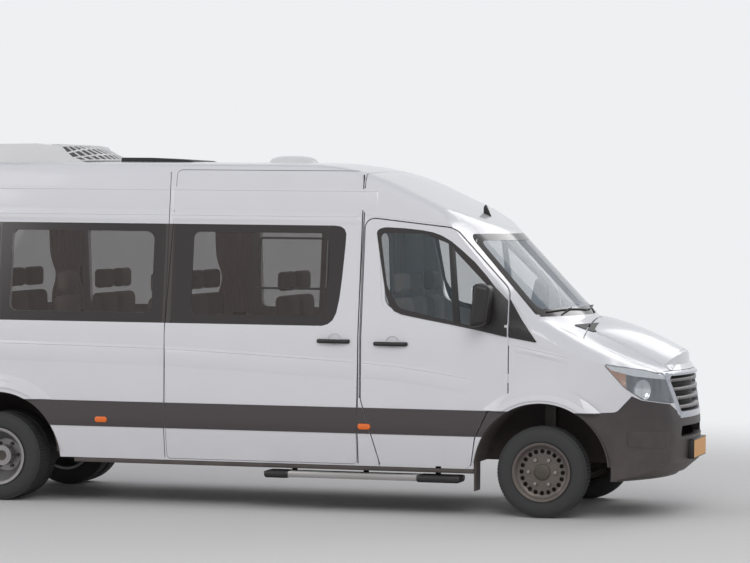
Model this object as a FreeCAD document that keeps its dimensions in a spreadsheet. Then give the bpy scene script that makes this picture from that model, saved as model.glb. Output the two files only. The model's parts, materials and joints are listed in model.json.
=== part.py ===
"""High-roof passenger minibus, modelled at its real size in millimetres.

X points to the front, Y to the vehicle's left and Z up. The origin lies on
the ground under the middle of the whole vehicle.
"""
import FreeCAD, Part
import math
import os
import re
from types import SimpleNamespace

import Sketcher

os.makedirs("parts", exist_ok=True)
doc = FreeCAD.newDocument("Minibus")
V = FreeCAD.Vector

# Driving dimensions: alias, value, meaning
SIZES = (
    ("overall_length", 6945, "number plate to rear bumper"),
    ("wheelbase", 4325, "front axle to rear axle"),
    ("front_axle_x", 2435, "front axle from the middle"),
    ("hub_z", 345, "axle height"),
    ("rear_face_x", -3430, "plane of the rear doors"),
    ("side_half", 988, "half width of the body side"),
    ("sill_half", 942, "half width at the sill's lower edge"),
    ("sill_z", 346, "lower edge of the body"),
    ("waist_z", 600, "where the side starts to tuck in to the sill"),
    ("belt_z", 1330, "where the side starts to lean in"),
    ("eave_z", 2560, "where the side turns into the roof"),
    ("side_lean", 0.1204, "inward lean of the upper side per unit of height"),
    ("roof_turn_in", 94, "width of the rounded roof edge"),
    ("roof_turn_up", 77, "height of the rounded roof edge"),
    ("roof_crown", 18, "rise of the roof between its rounded edges"),
    ("rear_round", 80, "length of the rounded rear edge"),
    ("wall", 60, "thickness of walls and doors"),
    ("glass", 6, "thickness of flush glass"),
    ("dome_start_x", 550, "where the roof starts to fall forward"),
    ("dome_radius", 1740, "side view radius of the falling roof"),
    ("dome_angle", 25, "slope of the roof's front in degrees"),
    ("screen_foot_x", 4075.4, "windscreen plane carried down to the ground"),
    ("screen_slope", 0.9632, "forward run of the windscreen per unit of fall"),
    ("screen_radius", 1632, "plan radius of the windscreen"),
    ("nose_radius", 1650, "plan radius of the front face"),
    ("nose_top_x", 3400, "front face at the hood's edge"),
    ("nose_mid_x", 3446, "front face above the bumper"),
    ("bumper_face_x", 3455, "front face of the bumper"),
    ("chin_x", 3345, "lower front edge of the bumper"),
    ("chin_z", 320, "height of that edge"),
    ("corner_start_x", 2480, "where the front corner starts in plan"),
    ("corner_mid_x", 3030, "middle of the front corner"),
    ("corner_mid_half", 866, "half width there"),
    ("corner_end_x", 3330, "end of the front corner"),
    ("corner_end_half", 590, "half width there"),
    ("door_gap", 9, "shut line round a hinged door"),
    ("panel_gap", 4, "shut line round a fixed panel or the sliding door"),
    ("roof_split_z", 2600, "seam between side panels and roof"),
    ("header_z", 2256, "seam over the cab doors at the centre pillar"),
    ("header_fall", 0.107, "forward fall of that seam per unit of length"),
    ("pillar_x", 1024, "front face of the centre pillar seam"),
    ("slide_rear_x", -526, "rear edge of the sliding door"),
    ("slide_front_x", 1012, "front edge of the sliding door"),
    ("slide_top_z", 2586, "top of the sliding door"),
    ("door_foot_z", 368, "lower edge of the side doors"),
    ("cab_door_rear_x", 1042, "rear edge of a cab door"),
    ("cab_door_front_x", 2178, "front edge and hinge line of a cab door"),
    ("window_foot_z", 1410, "lower edge of the side glass"),
    ("window_top_z", 2172, "upper edge of the side glass"),
    ("window_frame", 75, "dark border of a side window"),
    ("arch_radius", 520, "front wheel arch"),
    ("rear_arch_radius", 505, "rear wheel arch"),
    ("flare_radius", 485, "outer edge of the front arch flare"),
    ("rear_flare_radius", 450, "outer edge of the rear arch flare"),
    ("flare_centre_z", 532, "centre height of both flares"),
    ("flare_foot_z", 792, "lower ends of both flares"),
    ("flare_out", 14, "how far the flares stand out"),
    ("band_low_z", 601, "lower edge of the rubbing band"),
    ("band_top_z", 798, "upper edge of the rubbing band"),
    ("band_out", 4, "how far the band stands out"),
    ("liner_gap", 0.3, "seat clearance between neighbouring pieces"),
    ("liner_thick", 8, "wheel arch liner"),
    ("arch_depth", 450, "how far a wheel arch reaches in from the side"),
    ("hood_rear_x", 2700, "rear edge of the hood"),
    ("hood_rear_half", 735, "half width of the hood at its rear edge"),
    ("hood_front_half", 535, "half width of the hood at the grille"),
    ("hood_foot_z", 1104, "lower front edge of the hood"),
    ("rear_door_half", 796, "outer edge of a rear door"),
    ("rear_door_foot_z", 640, "lower edge of the rear doors"),
    ("rear_door_top_z", 2440, "upper edge of the rear doors"),
    ("rear_hinge_out", 14, "rear hinge line behind the rear face"),
    ("floor_z", 660, "cabin floor"),
    ("floor_thick", 40, "floor pan"),
    ("cab_floor_half", 912, "half width of the cab floor"),
    ("rail_y", 400, "inner side of a frame rail"),
    ("rail_width", 70, "frame rail"),
    ("rail_height", 130, "frame rail"),
    ("tow_x", -3075, "middle of the towbar bolt holes"),
    ("tow_spacing", 250, "distance between them along a rail"),
    ("tow_hole_radius", 7, "towbar bolt hole"),
    ("tow_hole_depth", 60, "towbar bolt hole"),
    ("tyre_radius", 345, "tyre on the ground"),
    ("tyre_width", 195, "tyre section"),
    ("bead_radius", 212, "bore of the tyre"),
    ("bead_half", 74, "inner end of the rim seat"),
    ("rim_flange_radius", 222, "rim flange"),
    ("rim_lip", 6, "flange beyond the tyre"),
    ("rim_disc", 12, "wheel disc"),
    ("front_disc_out", 62, "outer face of a front wheel disc"),
    ("dish_radius", 128, "recess of a rear wheel disc"),
    ("hub_radius", 78, "rear hub"),
    ("hub_out", 10, "outer end of a rear hub"),
    ("front_wheel_y", 855, "front wheel centre plane"),
    ("rear_outer_y", 885, "outer rear wheel centre plane"),
    ("rear_inner_y", 660, "inner rear wheel centre plane"),
    ("spindle_radius", 30, "front wheel spindle"),
    ("spindle_out", 64, "spindle beyond the wheel centre plane"),
    ("rear_spindle_radius", 40, "rear wheel spindle"),
    ("running_gap", 0.3, "radial clearance of a wheel on its spindle"),
    ("kingpin_y", 790, "steering axis"),
    ("kingpin_radius", 18, "steering pin"),
    ("axle_radius", 55, "rear axle tube"),
    ("step_rear_x", 286, "rear end of the side step"),
    ("step_length", 1530, "side step"),
    ("step_width", 190, "side step"),
    ("step_thick", 31, "side step"),
    ("step_foot_z", 264, "underside of the side step"),
    ("seat_width", 424, "one passenger seat"),
    ("seat_pitch", 770, "distance between seat rows"),
    ("seat_row_x", -2980, "rearmost seat row"),
    ("wheel_y", 430, "steering wheel from the middle"),
    ("cooler_rear_x", -2950, "rear end of the roof cooler"),
    ("cooler_front_x", -1180, "front end of the roof cooler"),
    ("cooler_half", 560, "half width of the roof cooler"),
    ("cooler_top_z", 2789, "top of the roof cooler"),
    ("plate_width", 520, "number plate"),
    ("plate_height", 130, "number plate"),
    ("plate_foot_z", 436, "lower edge of the front plate"),
)

sheet = doc.addObject("Spreadsheet::Sheet", "Sizes")
for row, (alias, value, meaning) in enumerate(SIZES, start=1):
    sheet.set(f"A{row}", meaning)
    sheet.set(f"B{row}", str(value))
    sheet.setAlias(f"B{row}", alias)
doc.recompute()
S = SimpleNamespace(**{alias: float(sheet.get(alias)) for alias, value, meaning in SIZES})

REAR_AXLE_X = S.front_axle_x - S.wheelbase
NOSE_X = S.overall_length / 2
FAR = 5000.0
NODES = []


def bound(expression):
    """Return an expression in which each alias names its cell of the sheet."""
    names = {alias for alias, value, meaning in SIZES}
    return re.sub(r"[a-z]\w*", lambda m: "Sizes." + m[0] if m[0] in names else m[0], expression)


def bind(obj, **expressions):
    """Tie properties of an object to expressions of the sheet."""
    for key, expression in expressions.items():
        path = {"x": "Placement.Base.x", "y": "Placement.Base.y", "z": "Placement.Base.z"}.get(key, key)
        obj.setExpression(path, bound(expression))
    return obj


def keep(obj, name):
    """Mark a document object as a finished sub-part that gets its own file."""
    obj.Label = name
    NODES.append(obj)
    return obj


def feature(name, shape):
    """Hold a shape that was worked out from the sheet as a finished sub-part."""
    obj = doc.addObject("Part::Feature", name)
    obj.Shape = shape
    return keep(obj, name)


def box(name, length, width, height, x, y, z):
    """Add a box bound to the sheet, from its lowest corner."""
    obj = doc.addObject("Part::Box", name)
    return bind(obj, Length=length, Width=width, Height=height, x=x, y=y, z=z)


def rod(name, radius, height, x, y, z, turn=FreeCAD.Rotation()):
    """Add a cylinder bound to the sheet that starts at a point."""
    obj = doc.addObject("Part::Cylinder", name)
    obj.Placement = FreeCAD.Placement(V(), turn)
    return bind(obj, Radius=radius, Height=height, x=x, y=y, z=z)


ALONG_X = FreeCAD.Rotation(V(0, 1, 0), 90)
ALONG_Y = FreeCAD.Rotation(V(1, 0, 0), -90)


def fused(name, parts):
    """Join bound objects into one."""
    obj = doc.addObject("Part::MultiFuse", name)
    obj.Shapes = parts
    obj.Refine = True
    return obj


def cut(name, base, tool):
    """Cut one bound object with another."""
    obj = doc.addObject("Part::Cut", name)
    obj.Base = base
    obj.Tool = tool
    return obj


def copy_of(name, shape):
    """Hold a construction shape, such as a cutter, in the document."""
    obj = doc.addObject("Part::Feature", name)
    obj.Shape = shape
    return obj


def turned(name, points, x, y, z, side=1):
    """Revolve a profile about the Y axis as a PartDesign body.

    points are (axial, radius) expressions of the sheet; axial grows outwards
    on the given side of the vehicle.
    """
    body = doc.addObject("PartDesign::Body", name)
    plane = next(f for f in body.Origin.OriginFeatures if f.Role == "XY_Plane")
    sketch = body.newObject("Sketcher::SketchObject", name + "_profile")
    sketch.AttachmentSupport = [(plane, "")]
    sketch.MapMode = "FlatFace"
    shift = 1000.0
    values = [(eval_size(a) + shift, eval_size(r)) for a, r in points]
    count = len(points)
    for i, (a, r) in enumerate(values):
        b, q = values[(i + 1) % count]
        sketch.addGeometry(Part.LineSegment(V(a, r, 0), V(b, q, 0)), False)
    for i in range(count):
        sketch.addConstraint(Sketcher.Constraint("Coincident", i, 2, (i + 1) % count, 1))
    for i, (a, r) in enumerate(points):
        at = sketch.addConstraint(Sketcher.Constraint("DistanceX", -1, 1, i, 1, values[i][0]))
        sketch.setExpression(f"Constraints[{at}]", bound(f"{a} + {shift}"))
        at = sketch.addConstraint(Sketcher.Constraint("DistanceY", -1, 1, i, 1, values[i][1]))
        sketch.setExpression(f"Constraints[{at}]", bound(r))
    spin = body.newObject("PartDesign::Revolution", name + "_turn")
    spin.Profile = sketch
    spin.ReferenceAxis = (sketch, ["H_Axis"])
    spin.Angle = 360
    body.Tip = spin
    body.Placement = FreeCAD.Placement(V(), FreeCAD.Rotation(V(0, 0, 1), 90 * side))
    return bind(body, x=x, y=f"({y}) - {side * shift}", z=z)


def eval_size(expression):
    """Return the number that an expression of the sheet stands for now."""
    words = re.sub(r"[a-z]\w*", lambda m: str(getattr(S, m[0])), expression)
    return FreeCAD.Units.Quantity(words).Value


# Outlines and prisms


def outline(points):
    """Return a closed wire through (a, b, radius) points with rounded corners."""
    flat = [(V(p[0], p[1], 0), p[2] if len(p) > 2 else 0) for p in points]
    runs = []
    for i, (corner, radius) in enumerate(flat):
        before = (flat[i - 1][0] - corner).normalize()
        after = (flat[(i + 1) % len(flat)][0] - corner).normalize()
        if radius == 0:
            runs.append((corner, corner, corner))
            continue
        half = before.getAngle(after) / 2
        reach = radius / math.tan(half)
        bisector = (before + after).normalize()
        middle = corner + bisector * (radius / math.sin(half) - radius)
        runs.append((corner + before * reach, middle, corner + after * reach))
    edges = []
    for i, (start, middle, end) in enumerate(runs):
        if start != end:
            edges.append(Part.Arc(start, middle, end).toShape())
        following = runs[(i + 1) % len(runs)][0]
        if (following - end).Length > 0.01:
            edges.append(Part.LineSegment(end, following).toShape())
    return Part.Wire(edges)


def prism(points, low, high, plane="side", grow=0.0):
    """Extrude an outline through the body.

    A side outline is given in X and Z and runs along Y, a top outline in X
    and Y along Z, and a front outline in Y and Z along X.
    """
    wire = outline(points)
    if grow:
        wire = wire.makeOffset2D(grow)
    solid = Part.Face(wire).extrude(V(0, 0, high - low))
    if plane == "side":
        solid.rotate(V(), V(1, 0, 0), 90)
        solid.translate(V(0, high, 0))
    elif plane == "top":
        solid.translate(V(0, 0, low))
    else:
        solid.rotate(V(), V(1, 1, 1), 120)
        solid.translate(V(low, 0, 0))
    return solid


def block(x0, x1, y0, y1, z0, z1):
    """Return a plain cutter between two corners."""
    return Part.makeBox(x1 - x0, y1 - y0, z1 - z0, V(x0, y0, z0))


def mirrored(shape):
    """Return the same shape on the other side of the vehicle."""
    return shape.mirror(V(), V(0, 1, 0))


def joined(shapes):
    """Fuse shapes and merge the faces that lie in one surface."""
    return shapes[0].multiFuse(shapes[1:]).removeSplitter()


def both(shape):
    """Return a shape with its mirror image as one compound."""
    return Part.Compound([shape, mirrored(shape)])


def solids_of(shape):
    """Return a compound of just the solids of a boolean's result."""
    found = [s for s in shape.Solids if s.Volume > 500.0]
    return found[0] if len(found) == 1 else Part.Compound(found)


def wheel_drum(x, radius, side, y_in, y_out):
    """Return a cylinder along Y about an axle, on one side."""
    low = min(side * y_in, side * y_out)
    return Part.makeCylinder(radius, abs(y_out - y_in), V(x, low, S.hub_z), V(0, 1, 0))


# Outer form of the body


def half_points(drop, inset):
    """Return the corner points of the right half of a cross section.

    drop lowers the roof, as towards the windscreen; inset moves the whole
    section inwards.
    """
    eave_z = S.eave_z - drop - 0.5 * inset
    eave_y = S.side_half - inset - (eave_z - S.belt_z) * S.side_lean
    edge_y = eave_y - S.roof_turn_in
    edge_z = S.eave_z - drop + S.roof_turn_up - inset
    middle = (eave_y - 0.28 * S.roof_turn_in, eave_z + 0.66 * (edge_z - eave_z))
    return SimpleNamespace(
        low=(S.sill_half - inset, S.sill_z + 0.1 * inset),
        waist=(S.side_half - inset, S.waist_z),
        belt=(S.side_half - inset, S.belt_z),
        eave=(eave_y, eave_z),
        middle=middle,
        edge=(edge_y, edge_z),
        top=(0.0, edge_z + S.roof_crown),
    )


def body_section(x, drop, inset):
    """Return the closed cross section of the cabin at one place."""
    p = half_points(drop, inset)
    right = {key: V(x, -value[0], value[1]) for key, value in vars(p).items()}
    left = {key: V(x, value[0], value[1]) for key, value in vars(p).items()}
    edges = [
        Part.LineSegment(right["low"], right["waist"]),
        Part.LineSegment(right["waist"], right["belt"]),
        Part.LineSegment(right["belt"], right["eave"]),
        Part.Arc(right["eave"], right["middle"], right["edge"]),
        Part.Arc(right["edge"], right["top"], left["edge"]),
        Part.Arc(left["edge"], left["middle"], left["eave"]),
        Part.LineSegment(left["eave"], left["belt"]),
        Part.LineSegment(left["belt"], left["waist"]),
        Part.LineSegment(left["waist"], left["low"]),
        Part.LineSegment(left["low"], right["low"]),
    ]
    return Part.Wire([e.toShape() for e in edges])


def roof_drop(x):
    """Return how far the roof has fallen at one place of its front."""
    angle = math.radians(S.dome_angle)
    run = x - S.dome_start_x
    arc_run = S.dome_radius * math.sin(angle)
    if run <= arc_run:
        return S.dome_radius - math.sqrt(S.dome_radius**2 - run**2)
    return S.dome_radius * (1 - math.cos(angle)) + (run - arc_run) * math.tan(angle)


def cabin_form(inset):
    """Return the cabin from the rear doors to the windscreen as a solid."""
    rear = S.rear_face_x + inset
    arc_end = S.dome_start_x + S.dome_radius * math.sin(math.radians(S.dome_angle))
    arc_mid = (S.dome_start_x + arc_end) / 2
    falling = [body_section(x, roof_drop(x), inset) for x in (S.dome_start_x, arc_mid, arc_end)]
    front = [body_section(x, roof_drop(x), inset) for x in (arc_end, 2150)]
    low_front = Part.Face(body_section(2150, roof_drop(2150), inset)).extrude(V(500, 0, 0))
    straight = Part.Face(body_section(rear, 0, inset)).extrude(V(S.dome_start_x - rear, 0, 0))
    rear_edges = [
        edge for edge in straight.Edges
        if edge.BoundBox.XMax < rear + 1 and edge.BoundBox.ZMax > S.waist_z - 1
    ]
    straight = straight.makeFillet(max(S.rear_round - inset, S.wall / 4), rear_edges)
    pieces = [straight, Part.makeLoft(falling, True, False), Part.makeLoft(front, True, True), low_front]
    form = pieces[0].multiFuse(pieces[1:])
    foot = S.screen_foot_x - 1.39 * inset
    radius = S.screen_radius - inset
    centre = foot - radius
    plan = Part.Wire(
        [
            Part.Arc(V(centre, -radius, 0), V(foot, 0, 0), V(centre, radius, 0)).toShape(),
            Part.LineSegment(V(centre, radius, 0), V(-FAR, radius, 0)).toShape(),
            Part.LineSegment(V(-FAR, radius, 0), V(-FAR, -radius, 0)).toShape(),
            Part.LineSegment(V(-FAR, -radius, 0), V(centre, -radius, 0)).toShape(),
        ]
    )
    height = 3000.0
    behind_screen = Part.Face(plan).extrude(V(-S.screen_slope * height, 0, height))
    return form.common(behind_screen)


# Nose sections: place, side top, fender point (y, z), crease (y, z), centre height
NOSE_SECTIONS = (
    (2150, 1440, 930, 1510, 790, 1560, 1600),
    (2500, 1330, 925, 1400, 735, 1440, 1522),
    (2820, 1150, 905, 1222, 700, 1283, 1456),
    (3100, 1010, 868, 1110, 622, 1166, 1358),
    (3450, 900, 800, 985, 520, 1045, 1172),
)


def nose_section(row, inset):
    """Return one closed cross section of the hood and fenders."""
    x, side_z, fender_y, fender_z, crease_y, crease_z, centre_z = row
    edges = []
    for side, order in ((-1, 1), (1, -1)):
        low = V(x, side * (S.sill_half - inset), S.chin_z - 40 + 0.1 * inset)
        waist = V(x, side * (S.side_half + 1 - inset), S.waist_z)
        top = V(x, side * (S.side_half + 1 - inset), side_z - inset)
        fender = V(x, side * (fender_y - inset), fender_z - inset)
        crease = V(x, side * (crease_y - 0.5 * inset), crease_z - inset)
        run = [
            Part.LineSegment(*(low, waist)[::order]),
            Part.LineSegment(*(waist, top)[::order]),
            Part.Arc(*(top, fender, crease)[::order]),
        ]
        if side < 0:
            crown = Part.Arc(crease, V(x, 0, centre_z - inset), V(x, -crease.y, crease.z))
            edges = run + [crown]
        else:
            edges += run[::-1]
    foot = V(x, S.sill_half - inset, S.chin_z - 40 + 0.1 * inset)
    edges.append(Part.LineSegment(foot, V(x, -foot.y, foot.z)))
    return Part.Wire([e.toShape() for e in edges])


def nose_form(inset):
    """Return hood, fenders and bumper as one solid."""
    form = Part.makeLoft([nose_section(row, inset) for row in NOSE_SECTIONS], True, False)
    axis_x = S.bumper_face_x - S.nose_radius
    profile = [
        (axis_x, 0),
        (S.chin_x - 60 - inset, 0),
        (S.chin_x - 60 - inset, S.chin_z - 20),
        (S.chin_x - inset, S.chin_z),
        (S.bumper_face_x - 12 - inset, S.chin_z + 85),
        (S.bumper_face_x - inset, S.band_low_z),
        (S.nose_mid_x - inset, S.band_top_z - 30),
        (S.nose_top_x + 18 - inset, S.hood_foot_z - 24),
        (S.nose_top_x - 40 - inset, S.hood_foot_z + 36),
        (S.nose_top_x - 90 - inset, 1800),
        (axis_x, 1800),
    ]
    face = Part.Face(Part.makePolygon([V(a, 0, b) for a, b in profile] + [V(axis_x, 0, 0)]))
    front = face.revolve(V(axis_x, 0, 0), V(0, 0, 1), 180)
    front.rotate(V(axis_x, 0, 0), V(0, 0, 1), -90)
    return form.common(front)


def plan_form(inset):
    """Return the plan outline with its tapering front corners as a solid."""
    edges = []
    wide = S.side_half + 120
    for side, order in ((-1, 1), (1, -1)):
        points = [
            V(-FAR, side * wide, 0),
            V(S.corner_start_x - 250, side * wide, 0),
            V(S.corner_start_x, side * (S.side_half + 1 - inset), 0),
            V(S.corner_mid_x - 0.5 * inset, side * (S.corner_mid_half - inset), 0),
            V(S.corner_end_x - inset, side * (S.corner_end_half - inset), 0),
            V(S.overall_length / 2 + 100, side * 250, 0),
        ]
        run = [
            Part.LineSegment(*(points[0], points[1])[::order]),
            Part.LineSegment(*(points[1], points[2])[::order]),
            Part.Arc(*(points[2], points[3], points[4])[::order]),
            Part.LineSegment(*(points[4], points[5])[::order]),
        ]
        edges += run[::order]
        if side < 0:
            edges.append(Part.LineSegment(points[5], V(points[5].x, -points[5].y, 0)))
    edges.append(Part.LineSegment(V(-FAR, wide, 0), V(-FAR, -wide, 0)))
    return Part.Face(Part.Wire([e.toShape() for e in edges])).extrude(V(0, 0, 3000))


def outer_form(inset):
    """Return the closed outer form of the whole body, moved inwards by inset."""
    cabin = cabin_form(inset).cut(block(2300, FAR, -1200, 1200, 0, 1250))
    return cabin.fuse(nose_form(inset)).common(plan_form(inset))


def hollow(outside, inside):
    """Return the wall between two closed forms, one inside the other."""
    return Part.Solid(Part.Compound([outside.Shells[0], inside.Shells[0].reversed()]))


OUTER = outer_form(0)
SHELL = hollow(OUTER, outer_form(S.wall))
UNDER_SKIN = outer_form(S.glass)
SKIN = hollow(OUTER, UNDER_SKIN)


# Hinges: a pin with its lower knuckle on the fixed side, an eye on the moving side


def hinge(start, axis, to_fixed, reach, pin, length):
    """Return the fixed and the moving half of one hinge.

    start is the pin's first end, axis its direction and to_fixed the way to
    the fixed panel; reach is how far each web goes into its panel.
    """
    half = length / 2
    tube = pin + S.liner_gap + 1.0
    middle = start + axis * (half + S.liner_gap)
    fixed = Part.makeCylinder(pin, length, start, axis)
    fixed = fixed.fuse(Part.makeCylinder(tube, half - S.liner_gap, start, axis))
    eye = Part.makeCylinder(tube, half - S.liner_gap, middle, axis)
    across = axis.cross(to_fixed)
    webs = []
    for way, foot in ((to_fixed, start), (-to_fixed, middle)):
        corner = foot - across * pin
        edges = [corner, corner + way * reach, corner + way * reach + across * 2 * pin, corner + across * 2 * pin]
        face = Part.Face(Part.makePolygon(edges + [corner]))
        webs.append(face.extrude(axis * (half - S.liner_gap)))
    bore = Part.makeCylinder(pin + S.liner_gap, length, start, axis)
    return fixed.fuse(webs[0]).removeSplitter(), eye.fuse(webs[1]).cut(bore).removeSplitter()


def joined_with(panel, extras):
    """Fuse small fittings to a panel and keep it a clean solid."""
    return solids_of(panel.multiFuse(extras).removeSplitter())


# Outlines in side view: place, height, corner radius


def header_at(x):
    """Return the height of the seam over the cab doors."""
    return S.header_z - S.header_fall * (x - S.pillar_x)


# Sliding door: run from its rear or front edge, height, corner radius
SLIDE_DOOR = [
    (S.slide_rear_x + 52, S.slide_top_z, 40),
    (S.slide_front_x + 14, S.slide_top_z, 40),
    (S.slide_front_x, S.belt_z, 0),
    (S.slide_front_x - 10, S.door_foot_z, 30),
    (S.slide_rear_x + 18, S.door_foot_z, 30),
    (S.slide_rear_x, S.belt_z, 0),
]
DOOR_FRONT = S.cab_door_front_x
DOOR_REAR = S.cab_door_rear_x
CAB_DOOR = [
    (DOOR_REAR, header_at(DOOR_REAR) - 20, 70),
    (DOOR_FRONT - 440, header_at(DOOR_FRONT - 440) - 20, 150),
    (DOOR_FRONT, 1690, 170),
    (DOOR_FRONT, 925, 30),
    (DOOR_FRONT - 156, 797, 90),
    (DOOR_FRONT - 254, 592, 120),
    (DOOR_FRONT - 292, S.door_foot_z, 30),
    (DOOR_REAR + 148, S.door_foot_z, 40),
    (DOOR_REAR + 90, 577, 160),
    (DOOR_REAR, 860, 160),
]
CAB_GLASS = [
    (DOOR_REAR + 105, 2142, 90),
    (DOOR_FRONT - 612, 2124, 90),
    (DOOR_FRONT - 92, 1628, 40),
    (DOOR_FRONT - 92, 1376, 20),
    (DOOR_FRONT - 300, 1410, 0),
    (DOOR_REAR + 150, 1530, 130),
]
# Flush side glass behind the cab: rear edge, front edge, front edge's lean, front corner radius
SIDE_GLASS = (
    (-3250, -1905, 0, 60),
    (-1897, -548, 0, 25),
    (-484, 832, 92, 130),
)
PANE_EDGES = ((-3160, -1990), (-1812, -640), (-320, 768))


def side_window(row, shrink=0.0):
    """Return the outline of one side window; shrink makes it smaller."""
    rear, front, lean, radius = SIDE_GLASS[row]
    low = S.window_foot_z + shrink
    top = S.window_top_z - shrink
    return [
        (rear + shrink, low, 25),
        (rear + shrink, top, 25),
        (front + lean / 2 - shrink, top, max(radius - shrink, 25)),
        (front - lean / 2 - shrink, low, max(radius - shrink, 25)),
    ]


def window_pane(row):
    """Return the outline of the opening in the wall behind one window."""
    rear, front = PANE_EDGES[row]
    low = S.window_foot_z + S.window_frame
    top = S.window_top_z - S.window_frame * 0.8
    return [(rear, low, 50), (rear, top, 50), (front, top, 70), (front, low, 70)]


ROOF_HALF = half_points(0, 0).edge[0] - 8
RIGHT = (-1200, -ROOF_HALF)
SLIDE_PRISM = prism(SLIDE_DOOR, *RIGHT)
CAB_DOOR_PRISM = prism(CAB_DOOR, *RIGHT)
CAB_DOOR_HOLE = prism(CAB_DOOR, *RIGHT, grow=S.door_gap)
ARCHES = {
    side: wheel_drum(S.front_axle_x, S.arch_radius, side, S.side_half - S.arch_depth, 1300).fuse(
        wheel_drum(REAR_AXLE_X, S.rear_arch_radius, side, S.side_half - S.arch_depth, 1300)
    )
    for side in (-1, 1)
}


def band(low_x, high_x, region):
    """Return the raised rubbing band within a region of the right side."""
    face = S.side_half
    plate = block(low_x, high_x, -face - S.band_out, -face + 1, S.band_low_z, S.band_top_z)
    return plate.common(region)


def flare(axle_x, radius, arch):
    """Return the crescent that stands out over a wheel arch on the right."""
    face = S.side_half
    top = Part.makeCone(radius, radius - 45, S.flare_out, V(axle_x + 4, -face, S.flare_centre_z), V(0, -1, 0))
    crescent = top.cut(Part.makeCylinder(arch, 200, V(axle_x, -face + 50, S.hub_z), V(0, -1, 0)))
    return crescent.common(block(axle_x - 700, axle_x + 700, -1100, -face, S.flare_foot_z, 1400))


# Side walls

REAR_SPLIT = S.rear_face_x + S.rear_round + 10
SIDE_FOOT = S.sill_z + 8
SLIDE_GAP = prism(SLIDE_DOOR, *RIGHT, grow=S.panel_gap)
side_region = block(REAR_SPLIT, S.pillar_x + 148, *RIGHT, SIDE_FOOT, S.roof_split_z)
cab_gap_region = CAB_DOOR_HOLE.fuse(block(S.pillar_x, S.pillar_x + 300, -1300, -200, 870, 3000))
wall_right = SHELL.common(side_region).cut(cab_gap_region).cut(ARCHES[-1])
windows = {row: SKIN.common(prism(side_window(row), *RIGHT)) for row in range(3)}
panes = [prism(window_pane(row), *RIGHT) for row in range(3)]
rear_flare = flare(REAR_AXLE_X, S.rear_flare_radius, S.rear_arch_radius)
bare_side = wall_right.fuse(band(REAR_SPLIT, S.pillar_x + 148, side_region.cut(cab_gap_region).cut(ARCHES[-1])))
bare_side = bare_side.fuse(rear_flare)
right_side = bare_side.cut(SLIDE_GAP)
for row in (0, 1):
    right_side = right_side.cut(windows[row]).cut(panes[row])
left_side = bare_side
for row in range(3):
    left_side = left_side.cut(windows[row]).cut(panes[row])
feature("side_panel_right", solids_of(right_side.removeSplitter()))
feature("side_panel_left", solids_of(mirrored(left_side.removeSplitter())))

slide = SHELL.common(SLIDE_PRISM).fuse(band(S.slide_rear_x - 50, S.slide_front_x + 50, SLIDE_PRISM))
feature("sliding_door", solids_of(slide.cut(windows[2]).cut(panes[2]).removeSplitter()))
side_glass = list(windows.values()) + [mirrored(windows[row]) for row in range(3)]
feature("side_windows", Part.Compound(side_glass))

# Roof

roof_region = prism(
    [
        (-4000, S.roof_split_z),
        (S.pillar_x + 8, S.roof_split_z),
        (S.pillar_x + 8, S.header_z),
        (2500, header_at(2500)),
        (2500, 3000),
        (-4000, 3000),
    ],
    -1200,
    1200,
)
roof_region = roof_region.fuse(block(REAR_SPLIT, S.pillar_x, -ROOF_HALF, ROOF_HALF, 2500, 3000))
feature("roof_panel", solids_of(SHELL.common(roof_region)))

# Front end outlines

# Headlamp in side view: place, height, corner radius
HEADLAMP = [
    (2886, 1168, 12),
    (3110, 1132, 0),
    (3292, 1092, 20),
    (3420, 1080, 0),
    (3470, 862, 0),
    (3335, 862, 40),
    (3160, 896, 60),
    (3040, 985, 80),
]
# Grille surround in front view: half width, height, corner radius
SURROUND = [(-618, S.hood_foot_z - 6, 0), (618, S.hood_foot_z - 6, 0), (446, 745, 60), (-446, 745, 60)]
GRILLE_HOLE = [(-560, 1066, 30), (560, 1066, 30), (398, 792, 40), (-398, 792, 40)]
# Upper edge of the bumper in side view
BUMPER = [
    (2700, 150, 0),
    (2700, 792, 0),
    (2990, 806, 60),
    (3092, 925, 0),
    (3158, 892, 60),
    (3335, 858, 0),
    (3395, 772, 0),
    (3700, 772, 0),
    (3700, 150, 0),
]
HOOD = [
    (S.hood_rear_x, -S.hood_rear_half, 30),
    (NOSE_X, -S.hood_front_half + 20, 0),
    (NOSE_X, S.hood_front_half - 20, 0),
    (S.hood_rear_x, S.hood_rear_half, 30),
]
HOOD_GAP = 12.0
HOOD_FLANGE = 16.0
COWL_Z = 1497.0
FRONT_FOOT = S.chin_z - 33
FENDER_REAR = DOOR_FRONT + S.door_gap

lamp_prism = prism(HEADLAMP, -1200, 1200)
surround_prism = prism(SURROUND, 3100, 3700, "front")
grille_prism = prism(GRILLE_HOLE, 3100, 3700, "front")
bumper_prism = prism(BUMPER, -1200, 1200)
hood_prism = prism(HOOD, S.hood_foot_z, 2000, "top")
hood_hole = prism(HOOD, S.hood_foot_z - 4, 2000, "top", grow=HOOD_GAP / 2)
hood_hole = hood_hole.fuse(block(S.hood_rear_x - HOOD_GAP, 2800, -500, 500, 1300, 1700))

front_region = block(FENDER_REAR, 3700, -1200, 1200, FRONT_FOOT, COWL_Z)
front_region = front_region.fuse(block(1850, FENDER_REAR, -1200, 1200, SIDE_FOOT, 925))
front_shell = SHELL.common(front_region).cut(ARCHES[-1]).cut(ARCHES[1])
front_shell = front_shell.cut(CAB_DOOR_HOLE).cut(mirrored(CAB_DOOR_HOLE))
bumper = front_shell.common(bumper_prism).cut(surround_prism)
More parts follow.
